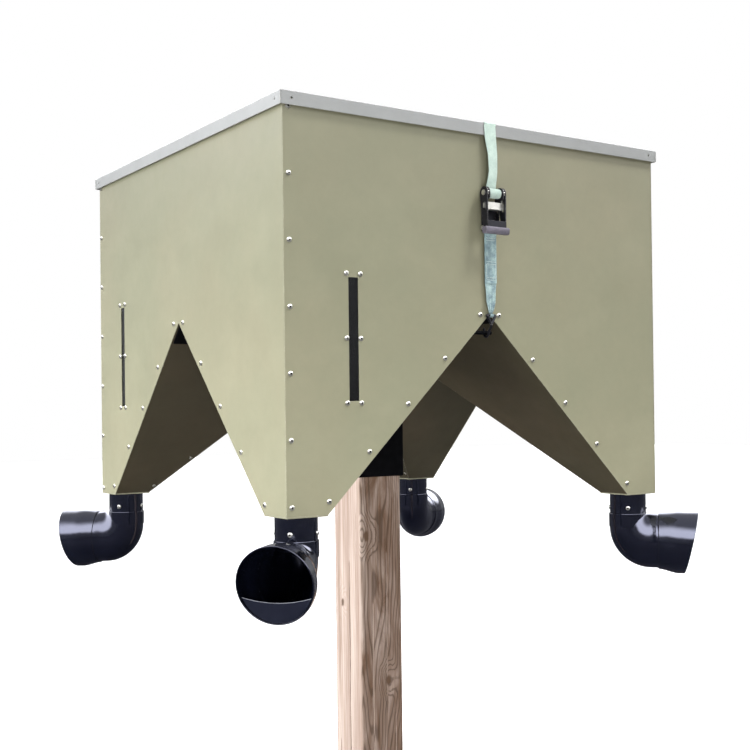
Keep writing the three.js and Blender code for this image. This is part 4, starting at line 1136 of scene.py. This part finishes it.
def soft_light(name, place, target, size, power, colour):
    data = bpy.data.lights.new(name, "AREA")
    data.shape = "SQUARE"
    data.size = size
    data.energy = power
    data.color = colour
    lamp = placed(name, data)
    lamp.location = place
    lamp.visible_glossy = False
    lamp.rotation_euler = (Vector(target) - Vector(place)).to_track_quat("-Z", "Y").to_euler()


soft_light("key", (-4.8, 0.0, 0.9), (0, 0, 1.5), 4.4, 560, (0.975, 0.985, 1.0))
soft_light("front_low", (-1.2, -3.9, 0.2), (0, 0, 1.2), 2.2, 112, (1.0, 0.99, 0.96))
soft_light("above", (1.6, -1.9, 5.4), (0, 0, 1.8), 0.9, 270, (1.0, 0.995, 0.99))
soft_light("right_fill", (5.5, 1.5, 2.5), (0, 0, 1.7), 3.5, 70, (0.98, 0.99, 1.0))

world = bpy.data.worlds.new("studio")
bpy.context.scene.world = world
world.use_nodes = True
tree = world.node_tree
rays = add(tree, "LightPath").outputs
height = add(tree, "SeparateXYZ", Vector=add(tree, "TexCoord").outputs["Generated"]).outputs[2]
skyline = ranged(tree, height, -0.06, 0.05, 0.04, 0.40, smooth=True)
bright_band = times(tree, ranged(tree, height, 0.22, 0.36, 0.0, 9.0, smooth=True),
                    ranged(tree, height, 0.62, 0.90, 1.0, 0.08, smooth=True))
overhead = maths(tree, "ADD", skyline, bright_band)
even = times(tree, maths(tree, "SUBTRACT", 1.0, rays["Is Glossy Ray"]), 0.27)
strength = maths(tree, "ADD", even, times(tree, rays["Is Glossy Ray"], overhead))
sky = tree.nodes["Background"]
sky.inputs["Color"].default_value = (0.95, 0.96, 1.0, 1)
feed(tree, sky.inputs["Strength"], strength)
seen = add(tree, "Background", Color=(1, 1, 1), Strength=1.0)
choice = add(tree, "MixShader", Fac=rays["Is Camera Ray"], i1=sky.outputs[0], i2=seen.outputs[0])
feed(tree, tree.nodes["World Output"].inputs[0], choice.outputs[0])
bpy.context.scene.view_settings.view_transform = "Standard"

YAW, PITCH, ROLL = 0.6055, 0.0100, -0.0120
CAMERA_PLACE = (-1.915128, -3.013780, 1.303668)
LENS, SENSOR, SHIFT = 56.04, 36, (-0.0493, 0.0333)
camera_data = bpy.data.cameras.new("camera")
camera_data.lens, camera_data.sensor_width = LENS, SENSOR
camera_data.shift_x, camera_data.shift_y = SHIFT
camera = placed("camera", camera_data)
forward = Vector((math.sin(YAW) * math.cos(PITCH), math.cos(YAW) * math.cos(PITCH), math.sin(PITCH)))
level = Vector((math.cos(YAW), -math.sin(YAW), 0))
upright = level.cross(forward)
across_view = level * math.cos(ROLL) + upright * math.sin(ROLL)
up_view = upright * math.cos(ROLL) - level * math.sin(ROLL)
camera.matrix_world = Matrix.Translation(CAMERA_PLACE) @ Matrix(
    (across_view, up_view, -forward)).transposed().to_4x4()
bpy.context.scene.camera = camera
